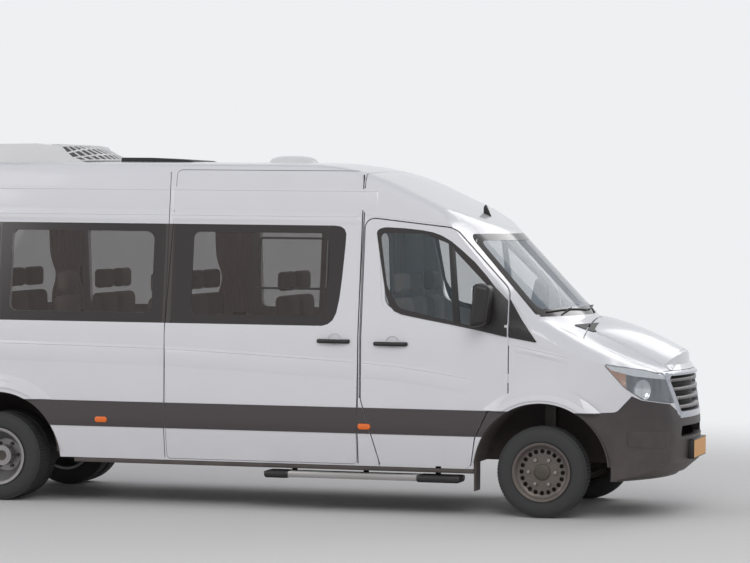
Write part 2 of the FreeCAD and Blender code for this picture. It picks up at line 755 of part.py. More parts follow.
# Air slot of the bumper in front view
AIR_SLOT = [(-430, 604, 15), (-400, 684, 20), (400, 684, 20), (430, 604, 15)]
bumper = bumper.cut(prism(AIR_SLOT, 3100, 3700, "front"))
feature("front_bumper", solids_of(bumper.removeSplitter()))
lamps = front_shell.common(lamp_prism).cut(surround_prism).cut(bumper_prism).cut(hood_hole)
feature("headlamps", solids_of(lamps.common(block(2800, 3700, -1200, 1200, 800, 1200))))
surround = front_shell.common(surround_prism).cut(grille_prism).cut(hood_hole)
feature("grille_surround", solids_of(surround.common(block(3150, 3700, -1200, 1200, 700, 1200))))

hood = front_shell.common(hood_prism)
hood = hood.cut(UNDER_SKIN.cut(prism(HOOD, 900, 2000, "top", grow=-HOOD_FLANGE)))
fenders = front_shell.cut(bumper_prism).cut(lamp_prism).cut(surround_prism).cut(hood_hole)
cowl_region = block(FENDER_REAR - 10, S.hood_rear_x - HOOD_GAP, -S.hood_rear_half, S.hood_rear_half, 1250, COWL_Z)
cowl = fenders.common(cowl_region)
fenders = fenders.cut(cowl_region)
front_flare = flare(S.front_axle_x, S.flare_radius, S.arch_radius)
front_flare = front_flare.cut(CAB_DOOR_HOLE)

# Cab shell with the windscreen

SCREEN = [(-800, 2120, 76), (800, 2120, 76), (868, COWL_Z + 8, 30), (-868, COWL_Z + 8, 30)]
SCREEN_PANE = [(-742, 2070, 50), (742, 2070, 50), (790, COWL_Z + 66, 40), (-790, COWL_Z + 66, 40)]
screen_prism = prism(SCREEN, 1500, 3000, "front")
windscreen = SKIN.common(screen_prism).common(block(1500, 3000, -1000, 1000, COWL_Z, 2300))
cab_region = prism(
    [
        (S.pillar_x + 8, COWL_Z),
        (S.pillar_x + 8, header_at(S.pillar_x + 8)),
        (2700, header_at(2700)),
        (2700, COWL_Z),
    ],
    -1200,
    1200,
)
cab = SHELL.common(cab_region).cut(CAB_DOOR_HOLE).cut(mirrored(CAB_DOOR_HOLE))
cab = cab.cut(windscreen).cut(prism(SCREEN_PANE, 1500, 3000, "front"))
feature("windscreen", solids_of(windscreen))

# Cab doors with hinges, glass, mirrors and handles

HINGE_PIN = 3.0
CAB_HINGE_X = DOOR_FRONT + S.door_gap / 2
CAB_HINGE_Y = S.side_half - 3
CAB_HINGES = (1010, 1290)
up = V(0, 0, 1)
fixed_pins = []
moving_eyes = []
for z in CAB_HINGES:
    fixed, moving = hinge(V(CAB_HINGE_X, -CAB_HINGE_Y, z), up, V(1, 0, 0), 14, HINGE_PIN, 70)
    fixed_pins.append(fixed)
    moving_eyes.append(moving)
door_band = band(DOOR_REAR - 20, DOOR_FRONT, CAB_DOOR_PRISM)
cab_door = SHELL.common(CAB_DOOR_PRISM).fuse(door_band).removeSplitter()
cab_glass = SKIN.common(prism(CAB_GLASS, *RIGHT))
CAB_PANE = [
    (DOOR_REAR + 135, 2108, 60),
    (DOOR_FRONT - 630, 2092, 60),
    (DOOR_FRONT - 128, 1610, 40),
    (DOOR_FRONT - 128, 1420, 30),
    (DOOR_FRONT - 310, 1450, 0),
    (DOOR_REAR + 175, 1562, 90),
]
cab_door = cab_door.cut(cab_glass).cut(prism(CAB_PANE, *RIGHT))
cab_door = joined_with(cab_door, moving_eyes)

# Mirror sail in side view, over the glass's front lower corner
SAIL = [
    (DOOR_FRONT - 300, 1402, 10),
    (DOOR_FRONT - 8, 1348, 10),
    (DOOR_FRONT - 8, 1640, 30),
    (DOOR_FRONT - 90, 1700, 40),
]
SAIL_OUT = 10
sail_plate = prism(SAIL, -S.side_half - SAIL_OUT, -850)
sail = sail_plate.cut(OUTER)
MIRROR_X = DOOR_FRONT - 232
MIRROR_SIDE = [(0, 1392, 40), (0, 1692, 40), (128, 1670, 60), (128, 1400, 50)]
MIRROR_TOP = [(0, -1212, 12), (0, -1007, 12), (128, -1020, 60), (128, -1190, 70)]
mirror_case = prism([(MIRROR_X + a, b, r) for a, b, r in MIRROR_SIDE], -1212, -1007)
mirror_case = mirror_case.common(prism([(MIRROR_X + a, b, r) for a, b, r in MIRROR_TOP], 1392, 1692, "top"))
mirror_arm = block(MIRROR_X + 40, MIRROR_X + 105, -1040, -960, 1420, 1500).cut(OUTER)
mirror = joined([sail, mirror_case, mirror_arm])


# Pull handle seen from above: along, outward, corner radius
HANDLE = [(0, 0, 0), (6, 40, 12), (244, 40, 12), (250, 0, 0), (206, 0, 0), (196, 24, 8), (54, 24, 8), (44, 0, 0)]
HANDLE_HEIGHT = 30


def handle(x, z):
    """Return a pull handle that stands on the right side."""
    return prism([(x + a, -S.side_half - b, r) for a, b, r in HANDLE], z, z + HANDLE_HEIGHT, "top")


cab_handle = handle(DOOR_REAR + 98, 1268)
for side, name in ((-1, "right"), (1, "left")):
    place = (lambda s: s) if side < 0 else mirrored
    feature(f"front_door_{name}", place(cab_door))
    feature(f"front_door_glass_{name}", place(solids_of(cab_glass)))
    feature(f"front_door_fittings_{name}", place(Part.Compound([mirror, cab_handle])))
feature("sliding_door_handle", handle(S.slide_front_x - 322, 1281))

# Fenders, cowl and hood with their hinges

right_extras = [front_flare] + fixed_pins
hood_pins = []
hood_eyes = []
HOOD_HINGE_X = S.hood_rear_x - HOOD_GAP / 2
HOOD_HINGE_Z = 1478.0
for y in (-130, 70):
    fixed, moving = hinge(V(HOOD_HINGE_X, y, HOOD_HINGE_Z), V(0, 1, 0), V(-1, 0, 0), 26, 3.5, 60)
    hood_pins.append(fixed)
    hood_eyes.append(moving)
fender_parts = right_extras + [mirrored(extra) for extra in right_extras]
feature("front_fenders", joined_with(fenders, fender_parts))
feature("cowl", joined_with(cowl, hood_pins))
feature("hood", joined_with(hood, hood_eyes))

# Grille blades behind the surround

GRILLE_AXIS_X = S.bumper_face_x - S.nose_radius
GRILLE_LOW = GRILLE_HOLE[2][1]
GRILLE_TOP = GRILLE_HOLE[0][1]
BLADES = 4
BLADE_HEIGHT = 24.0
GRILLE_LEAN = 0.1


def grille_ring(inner, outer, low, high):
    """Return a curved bar of the grille between two radii and two heights."""
    lean = -GRILLE_LEAN * ((low + high) / 2 - GRILLE_LOW)
    ring = Part.makeCylinder(S.nose_radius + outer + lean, high - low, V(GRILLE_AXIS_X, 0, low))
    return ring.cut(Part.makeCylinder(S.nose_radius + inner + lean, high - low, V(GRILLE_AXIS_X, 0, low)))


pitch = (GRILLE_TOP - GRILLE_LOW) / BLADES
bars = [grille_ring(-74, -60, GRILLE_LOW, GRILLE_TOP)]
for i in range(BLADES):
    low = GRILLE_LOW + (i + 0.5) * pitch - BLADE_HEIGHT / 2
    bars.append(grille_ring(-84, -18, low, low + BLADE_HEIGHT))
grille = joined(bars).common(grille_prism)
feature("grille", solids_of(grille))

# Rear end

TAIL_LAMP = block(-3500, REAR_SPLIT, -1000, -858, 1050, 1560)
REAR_FOOT = 604.0
rear_region = block(-3500, REAR_SPLIT, -1200, 1200, REAR_FOOT, S.roof_split_z)
REAR_DOOR = [
    (-S.rear_door_half, S.rear_door_foot_z, 40),
    (-S.rear_door_half, S.belt_z, 0),
    (-S.rear_door_half + 112, S.rear_door_top_z, 90),
    (-S.door_gap / 2, S.rear_door_top_z, 15),
    (-S.door_gap / 2, S.rear_door_foot_z, 15),
]
REAR_GLASS = [(-728, 1440, 60), (-652, 2160, 60), (-70, 2160, 60), (-70, 1440, 60)]
REAR_PANE = [(-690, 1478, 50), (-618, 2122, 50), (-108, 2122, 50), (-108, 1478, 50)]
REAR_RANGE = (-3600, -3300, "front")
rear_door_hole = prism(REAR_DOOR, *REAR_RANGE, grow=S.door_gap)
middle_gap = block(-3600, -3300, -20, 20, S.rear_door_foot_z - S.door_gap, S.rear_door_top_z + S.door_gap)
rear_frame = SHELL.common(rear_region)
for tool in (rear_door_hole, mirrored(rear_door_hole), middle_gap, TAIL_LAMP, mirrored(TAIL_LAMP)):
    rear_frame = rear_frame.cut(tool)
rear_pins = []
rear_eyes = []
REAR_HINGE_Y = S.rear_door_half + S.door_gap / 2
for z in (800, 1320):
    start = V(S.rear_face_x - S.rear_hinge_out, -REAR_HINGE_Y, z)
    fixed, moving = hinge(start, up, V(0, -1, 0), 40, 7, 110)
    foot = block(S.rear_face_x - S.rear_hinge_out, S.rear_face_x, -REAR_HINGE_Y - 40, -REAR_HINGE_Y - 12, z, z + 54)
    pad = block(S.rear_face_x - S.rear_hinge_out, S.rear_face_x, -REAR_HINGE_Y + 12, -REAR_HINGE_Y + 40, z + 56, z + 109)
    rear_pins.append(fixed.fuse(foot))
    rear_eyes.append(moving.fuse(pad))
feature("rear_frame", joined_with(rear_frame, rear_pins + [mirrored(p) for p in rear_pins]))
rear_door = SHELL.common(prism(REAR_DOOR, *REAR_RANGE))
rear_glass = SKIN.common(prism(REAR_GLASS, *REAR_RANGE))
rear_door = joined_with(rear_door.cut(rear_glass).cut(prism(REAR_PANE, *REAR_RANGE)), rear_eyes)
for side, name in ((-1, "right"), (1, "left")):
    place = (lambda s: s) if side < 0 else mirrored
    feature(f"rear_door_{name}", place(rear_door))
    feature(f"rear_door_glass_{name}", place(solids_of(rear_glass)))
feature("tail_lamps", both(solids_of(SHELL.common(TAIL_LAMP))))
REAR_BUMPER = [
    (-NOSE_X, -880, 70),
    (-3450, -975, 40),
    (REAR_SPLIT - 2, -975, 0),
    (REAR_SPLIT - 2, 975, 0),
    (-3450, 975, 40),
    (-NOSE_X, 880, 70),
]
rear_bumper = prism(REAR_BUMPER, 400, REAR_FOOT - 2, "top")
rear_bumper = rear_bumper.cut(block(-3420, -3300, -880, 880, 300, 560))
feature("rear_bumper", solids_of(rear_bumper))

# Structure under and inside the body

hoop_x = S.pillar_x - 40
hoop_drop = roof_drop(hoop_x + 80)
hoop = Part.Face(body_section(hoop_x, hoop_drop, S.wall + 7)).extrude(V(80, 0, 0))
hoop = hoop.cut(Part.Face(body_section(hoop_x, hoop_drop, S.wall + 50)).extrude(V(80, 0, 0)))
hoop = hoop.common(block(hoop_x, hoop_x + 80, -1200, 1200, S.floor_z, 3000))
feature("cab_frame", Part.Compound([solids_of(cab), solids_of(hoop)]))

floor_low = S.floor_z - S.floor_thick
floor = block(REAR_SPLIT + 1, S.pillar_x - 4, S.wall - S.side_half, S.side_half - S.wall, floor_low, S.floor_z)
floor = floor.fuse(block(S.pillar_x - 4, 2250, -S.cab_floor_half, S.cab_floor_half, floor_low, S.floor_z))
floor = floor.fuse(block(REAR_SPLIT - 26, REAR_SPLIT + 1, -905, 905, floor_low, S.floor_z))
for side in (-1, 1):
    floor = floor.cut(ARCHES[side])
bulkhead = block(2210, 2250, -880, 880, floor_low, 1290)
bulkhead = bulkhead.cut(ARCHES[-1]).cut(ARCHES[1])
feature("floor_pan", solids_of(floor.fuse(bulkhead).removeSplitter()))

# Wheel arch liners: a half tube with an inner wall, over each wheel

LINER_FOOT = 400.0


def liner(axle_x, arch, side):
    """Return the liner of one wheel arch."""
    inner_y = S.side_half - S.arch_depth
    outer = arch - S.liner_gap
    low = (lambda a, b: (min(side * a, side * b), abs(b - a)))
    y0, width = low(inner_y + S.liner_gap, S.side_half - 16)
    tube = Part.makeCylinder(outer, width, V(axle_x, y0, S.hub_z), V(0, 1, 0))
    tube = tube.cut(Part.makeCylinder(outer - S.liner_thick, width, V(axle_x, y0, S.hub_z), V(0, 1, 0)))
    y1, depth = low(inner_y + S.liner_gap, inner_y + S.liner_gap + S.liner_thick)
    disc = Part.makeCylinder(outer, depth, V(axle_x, y1, S.hub_z), V(0, 1, 0))
    upper = block(axle_x - arch, axle_x + arch, -1200, 1200, LINER_FOOT, 1000)
    return solids_of(tube.fuse(disc).common(upper).removeSplitter())


arm_window = block(S.front_axle_x - 45, S.front_axle_x + 45, -600, 600, LINER_FOOT - 5, S.hub_z + 130)
liners = []
for side in (-1, 1):
    low_y = min(side * 800, side * 960)
    flap = block(1921, 1933, low_y, low_y + 160, 190, LINER_FOOT + 15)
    liners.append(joined([liner(S.front_axle_x, S.arch_radius, side).cut(arm_window), flap]))
    liners.append(liner(REAR_AXLE_X, S.rear_arch_radius, side))
feature("wheel_arch_liners", Part.Compound(liners))

# Wheels: each profile is turned about the axle, as (axial, radius) with axial growing outwards

TYRE = (
    ("-tyre_width / 2", "bead_radius"),
    ("-tyre_width / 2", "tyre_radius"),
    ("tyre_width / 2", "tyre_radius"),
    ("tyre_width / 2", "bead_radius"),
)
FRONT_RIM = (
    ("-bead_half", "bead_radius - liner_gap"),
    ("tyre_width / 2 + liner_gap", "bead_radius - liner_gap"),
    ("tyre_width / 2 + liner_gap", "rim_flange_radius"),
    ("tyre_width / 2 + rim_lip", "rim_flange_radius"),
    ("tyre_width / 2 + rim_lip", "bead_radius - 14"),
    ("front_disc_out", "bead_radius - 14"),
    ("front_disc_out", "spindle_radius + running_gap"),
    ("front_disc_out - rim_disc", "spindle_radius + running_gap"),
    ("front_disc_out - rim_disc", "bead_radius - 12"),
    ("-bead_half", "bead_radius - 12"),
)
REAR_RIM = (
    ("-bead_half - rim_disc", "bead_radius - liner_gap"),
    ("tyre_width / 2 + liner_gap", "bead_radius - liner_gap"),
    ("tyre_width / 2 + liner_gap", "rim_flange_radius"),
    ("tyre_width / 2 + rim_lip", "rim_flange_radius"),
    ("tyre_width / 2 + rim_lip", "bead_radius - 14"),
    ("-bead_half", "bead_radius - 14"),
    ("-bead_half", "dish_radius"),
    ("(rear_inner_y - rear_outer_y) / 2 + rim_disc", "dish_radius"),
    ("(rear_inner_y - rear_outer_y) / 2 + rim_disc", "rear_spindle_radius + running_gap"),
    ("(rear_inner_y - rear_outer_y) / 2 + liner_gap", "rear_spindle_radius + running_gap"),
    ("(rear_inner_y - rear_outer_y) / 2 + liner_gap", "dish_radius + rim_disc"),
    ("-bead_half - rim_disc", "dish_radius + rim_disc"),
)
REAR_HUB = (
    ("(rear_inner_y - rear_outer_y) / 2 + rim_disc + liner_gap", "hub_radius"),
    ("hub_out", "hub_radius"),
    ("hub_out", "rear_spindle_radius + running_gap"),
    ("(rear_inner_y - rear_outer_y) / 2 + rim_disc + liner_gap", "rear_spindle_radius + running_gap"),
)
HAND_HOLES = 20


def hand_holes(side):
    """Return the cutters for the ring of oblong holes in a front rim."""
    cutters = []
    low = side * S.front_wheel_y - 100
    for i in range(HAND_HOLES):
        hole = Part.makeBox(30, 200, 17, V(142, low, -8.5))
        hole.rotate(V(), V(0, 1, 0), i * 360 / HAND_HOLES)
        hole.translate(V(S.front_axle_x, 0, S.hub_z))
        cutters.append(hole)
    return Part.Compound(cutters)


REAR_X = "front_axle_x - wheelbase"
for side, name in ((1, "left"), (-1, "right")):
    sign = "" if side > 0 else "-"
    tyre = turned(f"front_tyre_{name}_turned", TYRE, "front_axle_x", f"{sign}front_wheel_y", "hub_z", side)
    keep(tyre, f"front_tyre_{name}")
    disc = turned(f"front_rim_{name}_turned", FRONT_RIM, "front_axle_x", f"{sign}front_wheel_y", "hub_z", side)
    holes = copy_of(f"front_rim_{name}_holes", hand_holes(side))
    keep(cut(f"front_rim_{name}_cut", disc, holes), f"front_rim_{name}")
    pair = []
    rims = []
    for place, turn in (("outer", side), ("inner", -side)):
        at = f"{sign}rear_{place}_y"
        pair.append(turned(f"rear_tyre_{name}_{place}", TYRE, REAR_X, at, "hub_z", turn))
        rims.append(turned(f"rear_rim_{name}_{place}", REAR_RIM, REAR_X, at, "hub_z", turn))
    rims.append(turned(f"rear_hub_{name}", REAR_HUB, REAR_X, f"{sign}rear_outer_y", "hub_z", side))
    for label, links in ((f"rear_tyres_{name}", pair), (f"rear_rims_{name}", rims)):
        group = doc.addObject("Part::Compound", label + "_pair")
        group.Links = links
        keep(group, label)

# Knuckles with kingpin, spindle and brake disc

for side, name in ((1, "left"), (-1, "right")):
    sign = "" if side > 0 else "-"
    inner = "kingpin_y - 30" if side > 0 else "-kingpin_y - 12"
    upright = box(f"upright_{name}", "70", "42", "156", "front_axle_x - 35", inner, "hub_z - 78")
    pin = rod(f"kingpin_{name}", "kingpin_radius", "230", "front_axle_x", f"{sign}kingpin_y", "hub_z - 115")
    foot = "kingpin_y" if side > 0 else "-front_wheel_y - spindle_out"
    length = "front_wheel_y + spindle_out - kingpin_y"
    spindle = rod(f"spindle_{name}", "spindle_radius", length, "front_axle_x", foot, "hub_z", ALONG_Y)
    disc_y = "kingpin_y + 36" if side > 0 else "-kingpin_y - 58"
    brake = rod(f"brake_disc_{name}", "138", "22", "front_axle_x", disc_y, "hub_z", ALONG_Y)
    at = "kingpin_y - 26" if side > 0 else "-kingpin_y + 2"
    arm = box(f"steering_arm_{name}", "150", "24", "30", "front_axle_x - 150", at, "hub_z - 15")
    keep(fused(f"knuckle_{name}_parts", [upright, pin, spindle, brake, arm]), f"knuckle_{name}")

# Front suspension: cross member, arms with eyes for the kingpins, struts, steering rack

arms = [box("cross_member", "120", "1000", "89.7", "front_axle_x - 60", "-500", "300 + rail_height - 30")]
for side in (-1, 1):
    sign = "" if side > 0 else "-"
    for level, z in (("lower", "hub_z - 108"), ("upper", "hub_z + 84")):
        at = "470" if side > 0 else "-kingpin_y"
        tag = f"{level}_{'left' if side > 0 else 'right'}"
        arm = box(f"arm_{tag}", "56", "kingpin_y - 470", "22", "front_axle_x - 28", at, z)
        eye = rod(f"eye_{tag}", "30", "22", "front_axle_x", f"{sign}kingpin_y", z)
        bore = rod(f"bore_{tag}", "kingpin_radius + running_gap", "22", "front_axle_x", f"{sign}kingpin_y", z)
        arms.append(cut(f"arm_bored_{tag}", fused(f"arm_eye_{tag}", [arm, eye]), bore))
    foot = "565" if side > 0 else "-635"
    arms.append(box(f"strut_{side}", "80", "70", "605", "front_axle_x - 40", foot, "hub_z - 100"))
arms.append(rod("steering_rack", "28", "960", "front_axle_x - 130", "-480", "hub_z + 40", ALONG_Y))
arms.append(box("rack_mount", "160", "60", "60", "front_axle_x - 150", "-30", "hub_z + 20"))
keep(fused("front_suspension_parts", arms), "front_suspension")

# Frame rails, rear axle, springs, engine, tank, exhaust

rail_low = "floor_z - floor_thick - rail_height"
rails = []
for side in (-1, 1):
    at = "rail_y" if side > 0 else "-rail_y - rail_width"
    rails.append(box(f"rail_{side}", "6500", "rail_width", "rail_height", "rear_face_x + 88.3", at, rail_low))
for i, x in enumerate(("rear_face_x + 88.3", "-1000", "300", "1600", "2700")):
    rails.append(box(f"cross_{i}", "80", "2 * rail_y", "rail_height - 40", x, "-rail_y", rail_low))
bolts = [
    Part.makeCylinder(S.tow_hole_radius, S.tow_hole_depth, V(x, y, S.floor_z - S.floor_thick - S.rail_height))
    for x in (S.tow_x - S.tow_spacing / 2, S.tow_x + S.tow_spacing / 2)
    for y in (-S.rail_y - S.rail_width / 2, S.rail_y + S.rail_width / 2)
]
bolt_holes = copy_of("towbar_bolt_holes", Part.Compound(bolts))
keep(cut("frame_rails_drilled", fused("frame_rails_parts", rails), bolt_holes), "frame_rails")

axle = rod("axle_tube", "axle_radius", "2 * (rear_inner_y - 120)", REAR_X, "120 - rear_inner_y", "hub_z", ALONG_Y)
casing = rod("axle_casing", "135", "230", REAR_X, "-115", "hub_z", ALONG_Y)
spindle = rod("axle_spindles", "rear_spindle_radius", "2 * rear_outer_y", REAR_X, "-rear_outer_y", "hub_z", ALONG_Y)


def leaf_spring(y):
    """Return one leaf spring that hangs under a rail and rests on the axle."""
    top = S.floor_z - S.floor_thick - S.rail_height
    seat = S.hub_z + S.axle_radius - 4
    half = 640
    upper = [V(REAR_AXLE_X - half, y, top), V(REAR_AXLE_X, y, seat + 36), V(REAR_AXLE_X + half, y, top)]
    lower = [V(REAR_AXLE_X - half, y, top - 16), V(REAR_AXLE_X, y, seat), V(REAR_AXLE_X + half, y, top - 16)]
    edges = [
        Part.Arc(*upper).toShape(),
        Part.LineSegment(upper[2], lower[2]).toShape(),
        Part.Arc(*lower[::-1]).toShape(),
        Part.LineSegment(lower[0], upper[0]).toShape(),
    ]
    return Part.Face(Part.Wire(edges)).extrude(V(0, S.rail_width, 0))


springs = [copy_of("leaf_springs", both(leaf_spring(S.rail_y)))]
keep(fused("rear_axle_parts", [axle, casing, spindle] + springs), "rear_axle")
keep(box("engine_block", "560", "520", "540", "2540", "-260", "580.3"), "engine")
keep(box("fuel_tank_box", "900", "380", "300", "120", "480", "floor_z - floor_thick - 300"), "fuel_tank")
# Exhaust pipe from the outlet to the engine: place, side, height
PIPE = (
    (-1280, -600, 456),
    (1750, -600, 456),
    (1750, -220, 456),
    (2300, -220, 456),
    (2300, -220, 640),
    (2539.7, -220, 640),
)
PIPE_RADIUS = 28
SILENCER_RADIUS = 90
silencer_z = S.floor_z - S.floor_thick - SILENCER_RADIUS - S.liner_gap
pipes = [Part.makeCylinder(SILENCER_RADIUS, 700, V(-900, PIPE[0][1], silencer_z), V(1, 0, 0))]
for start, end in zip(PIPE, PIPE[1:]):
    run = V(*end) - V(*start)
    pipes.append(Part.makeCylinder(PIPE_RADIUS, run.Length, V(*start), run))
for corner in PIPE[1:-1]:
    pipes.append(Part.makeSphere(PIPE_RADIUS, V(*corner)))
feature("exhaust", joined(pipes))

# Side step, mud flaps, plate and roof equipment

steps = [box("step_board", "step_length", "step_width", "step_thick", "step_rear_x", "-side_half - 12", "step_foot_z")]
STEP_BRACKETS = 3
for i in range(STEP_BRACKETS):
    x = f"step_rear_x + 180 + {i} * (step_length - 400) / {STEP_BRACKETS - 1}"
    height = "floor_z - floor_thick - step_foot_z - step_thick"
    steps.append(box(f"step_bracket_{i}", "40", "12", height, x, "-side_half + 140", "step_foot_z + step_thick"))
keep(fused("side_step_parts", steps), "side_step")
plate = block(S.bumper_face_x - 40, NOSE_X, -S.plate_width / 2, S.plate_width / 2, S.plate_foot_z,
              S.plate_foot_z + S.plate_height)
feature("number_plate", solids_of(plate.cut(OUTER)))

COOLER = [
    (S.cooler_rear_x, 2640, 0),
    (S.cooler_rear_x + 60, S.cooler_top_z - 20, 60),
    (S.cooler_front_x - 560, S.cooler_top_z, 120),
    (S.cooler_front_x - 90, 2715, 60),
    (S.cooler_front_x, 2640, 0),
]
cooler = prism(COOLER, -S.cooler_half, S.cooler_half).cut(OUTER)
feature("roof_cooler", solids_of(cooler))
hatch = block(-1130, -520, -330, 330, 2640, 2692).cut(OUTER)
vent = Part.makeCone(205, 150, 78, V(210, 0, 2632)).cut(OUTER)
fin = prism([(1752, 2250), (1752, 2330), (1772, 2340), (1815, 2262)], -8, 8).cut(OUTER)
feature("roof_fittings", Part.Compound([solids_of(hatch), solids_of(vent), solids_of(fin)]))

# Interior: dashboard, steering wheel, seats

DASHBOARD = [
    (2209.7, 960, 0),
    (2209.7, 1296, 0),
    (2160, 1330, 30),
    (1990, 1300, 60),
    (1900, 1180, 60),
    (1960, 960, 40),
]
WHEEL_CENTRE = V(1850, S.wheel_y, 1330)
WHEEL_AXIS = V(-math.cos(math.radians(28)), 0, math.sin(math.radians(28)))
RING_SECTION = [(181, -8), (195, -15), (209, -8), (209, 8), (195, 15), (181, 8)]
section = [V(r, 0, h) for r, h in RING_SECTION]
ring = Part.Face(Part.makePolygon(section + section[:1])).revolve(V(), V(0, 0, 1), 360)
hub = Part.makeCylinder(60, 44, WHEEL_CENTRE - WHEEL_AXIS * 44, WHEEL_AXIS)
column = Part.makeCylinder(24, 150, WHEEL_CENTRE - WHEEL_AXIS * 194.3, WHEEL_AXIS)
feature("dashboard", joined([prism(DASHBOARD, -878, 878), column]))
spokes = []
for angle in (0, 90, 180, 270):
    spoke = Part.makeBox(188, 26, 10, V(0, -13, -14))
    spoke.rotate(V(), V(0, 0, 1), angle)
    spokes.append(spoke)
wheel_turn = FreeCAD.Rotation(V(0, 0, 1), WHEEL_AXIS)
SEAT = (
    (0, 0), (480, 0), (480, 120), (130, 110), (60, 640), (40, 790), (-60, 790), (-40, 640), (-20, 110),
)
# Seat places: row position, seat's right edge, height of the cushion's underside
SEAT_PLACES = []
for i in range(5):
    x = S.seat_row_x + i * S.seat_pitch
    SEAT_PLACES += [(x, 434, 1010), (x, 6, 1010)]
    if i in (0, 1, 2, 3):
        SEAT_PLACES.append((x, -858, 1010))
SEAT_PLACES.append((S.seat_row_x, -430, 1010))


def seat_shell(x, y, z, width):
    """Return one seat with its back as a plain closed form."""
    points = [V(x + a, y, z + b) for a, b in SEAT]
    return Part.Face(Part.makePolygon(points + [points[0]])).extrude(V(0, width, 0))


cabin_seats = [seat_shell(x, y, z, S.seat_width) for x, y, z in SEAT_PLACES]
cab_seats = [seat_shell(1240, 215, 1030, 470), seat_shell(1240, -760, 1030, 440), seat_shell(1240, -315, 1030, 400)]
feature("seats", Part.Compound(cabin_seats + cab_seats))
legs = []
for x, y, z in SEAT_PLACES:
    leg = block(x + 60, x + 100, y + 40, y + S.seat_width - 40, S.floor_z, z - S.liner_gap)
    legs.append(leg.cut(ARCHES[-1]).cut(ARCHES[1]))
for y0, y1 in ((235, 665), (-740, 65)):
    legs.append(block(1290, 1680, y0, y1, S.floor_z, 1030 - S.liner_gap))
feature("seat_frames", Part.Compound(legs))
for part in [ring] + spokes:
    part.Placement = FreeCAD.Placement(WHEEL_CENTRE, wheel_turn).multiply(part.Placement)
feature("steering_wheel", joined([ring, hub] + spokes))

# Checks and files

doc.recompute()
for obj in doc.Objects:
    if {"Invalid", "Error"} & set(obj.State):
        raise RuntimeError(f"{obj.Name} failed: {obj.State}")
for obj in NODES:
    if obj.Shape.isNull() or not obj.Shape.isValid():
        raise RuntimeError(f"{obj.Label} has no valid shape")
for obj in NODES:
    obj.Shape.exportStep(f"parts/{obj.Label}.step")
print(len(NODES), "sub-parts written")
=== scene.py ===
"""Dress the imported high-roof passenger minibus for a studio render.

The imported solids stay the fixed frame, in metres: X to the front, Y to the
vehicle's left, Z up. Body panels are copied, merged and finished in paint;
tyres, lamps, mirrors, seats and curtains are modelled around them.
"""

import json
import logging
import math
from collections.abc import Callable, Iterable, Iterator
from contextlib import contextmanager
from dataclasses import dataclass, field
from enum import Enum

import bpy
import numpy as np
from mathutils import Matrix, Vector
from mathutils.kdtree import KDTree

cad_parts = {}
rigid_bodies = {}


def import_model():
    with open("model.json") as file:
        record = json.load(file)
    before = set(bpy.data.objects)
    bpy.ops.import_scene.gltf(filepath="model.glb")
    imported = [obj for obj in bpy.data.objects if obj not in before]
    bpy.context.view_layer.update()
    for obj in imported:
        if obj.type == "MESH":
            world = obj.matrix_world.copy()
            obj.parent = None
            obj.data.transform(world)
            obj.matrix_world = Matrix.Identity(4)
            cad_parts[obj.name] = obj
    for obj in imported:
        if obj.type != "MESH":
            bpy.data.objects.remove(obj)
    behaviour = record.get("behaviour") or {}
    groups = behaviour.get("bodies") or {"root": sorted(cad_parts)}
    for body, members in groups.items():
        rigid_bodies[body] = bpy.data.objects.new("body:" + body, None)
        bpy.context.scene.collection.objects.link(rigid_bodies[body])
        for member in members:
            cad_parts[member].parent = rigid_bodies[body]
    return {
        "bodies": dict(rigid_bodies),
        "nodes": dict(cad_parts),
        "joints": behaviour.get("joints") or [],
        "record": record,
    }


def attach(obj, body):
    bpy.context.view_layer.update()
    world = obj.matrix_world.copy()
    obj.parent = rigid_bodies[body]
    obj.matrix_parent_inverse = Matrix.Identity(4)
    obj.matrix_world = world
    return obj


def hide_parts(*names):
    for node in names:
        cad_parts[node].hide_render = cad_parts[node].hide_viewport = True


LOG = logging.getLogger("minibus")
Point = tuple[float, float, float]
Pair = tuple[float, float]
Placing = Callable[[float, float, float], Point]
SIDES = ((1, "left"), (-1, "right"))
# The body side: its half width at the belt, its lean above that and its tuck below the waist
BELT_HALF = 0.988
BELT_HEIGHT = 1.330
SIDE_LEAN = 0.1204
WAIST_HEIGHT = 0.600
SILL_TUCK = 0.181


def linear(colour: str) -> tuple[float, float, float, float]:
    """Turn an sRGB hex colour into linear RGBA.

    Args:
        colour: A colour such as "#E8E6E1".

    Returns:
        The four linear components, alpha 1.
    """
    parts = [int(colour[i:i + 2], 16) / 255 for i in (1, 3, 5)]
    values = [c / 12.92 if c <= 0.04045 else ((c + 0.055) / 1.055) ** 2.4 for c in parts]
    return (values[0], values[1], values[2], 1.0)


def add_node(tree: bpy.types.NodeTree, kind: str, links: dict | None = None,
             **settings: object) -> bpy.types.Node:
    """Add a shader node with its settings and links.

    Args:
        tree: The material's or world's node tree.
        kind: Node type, such as "ShaderNodeTexNoise".
        links: Input name or index to an output socket or to a value; the
            inputs of a Mix node go by index, since several share a name.
        **settings: Properties of the node.

    Returns:
        The new node.
    """
    node = tree.nodes.new(kind)
    for key, value in settings.items():
        setattr(node, key, value)
    for key, value in (links or {}).items():
        if isinstance(value, bpy.types.NodeSocket):
            tree.links.new(value, node.inputs[key])
        else:
            node.inputs[key].default_value = value
    return node


def compute(tree: bpy.types.NodeTree, operation: str, *values: object) -> bpy.types.NodeSocket:
    """Add a math node on sockets or numbers and return its result."""
    return add_node(tree, "ShaderNodeMath", dict(enumerate(values)), operation=operation).outputs[0]


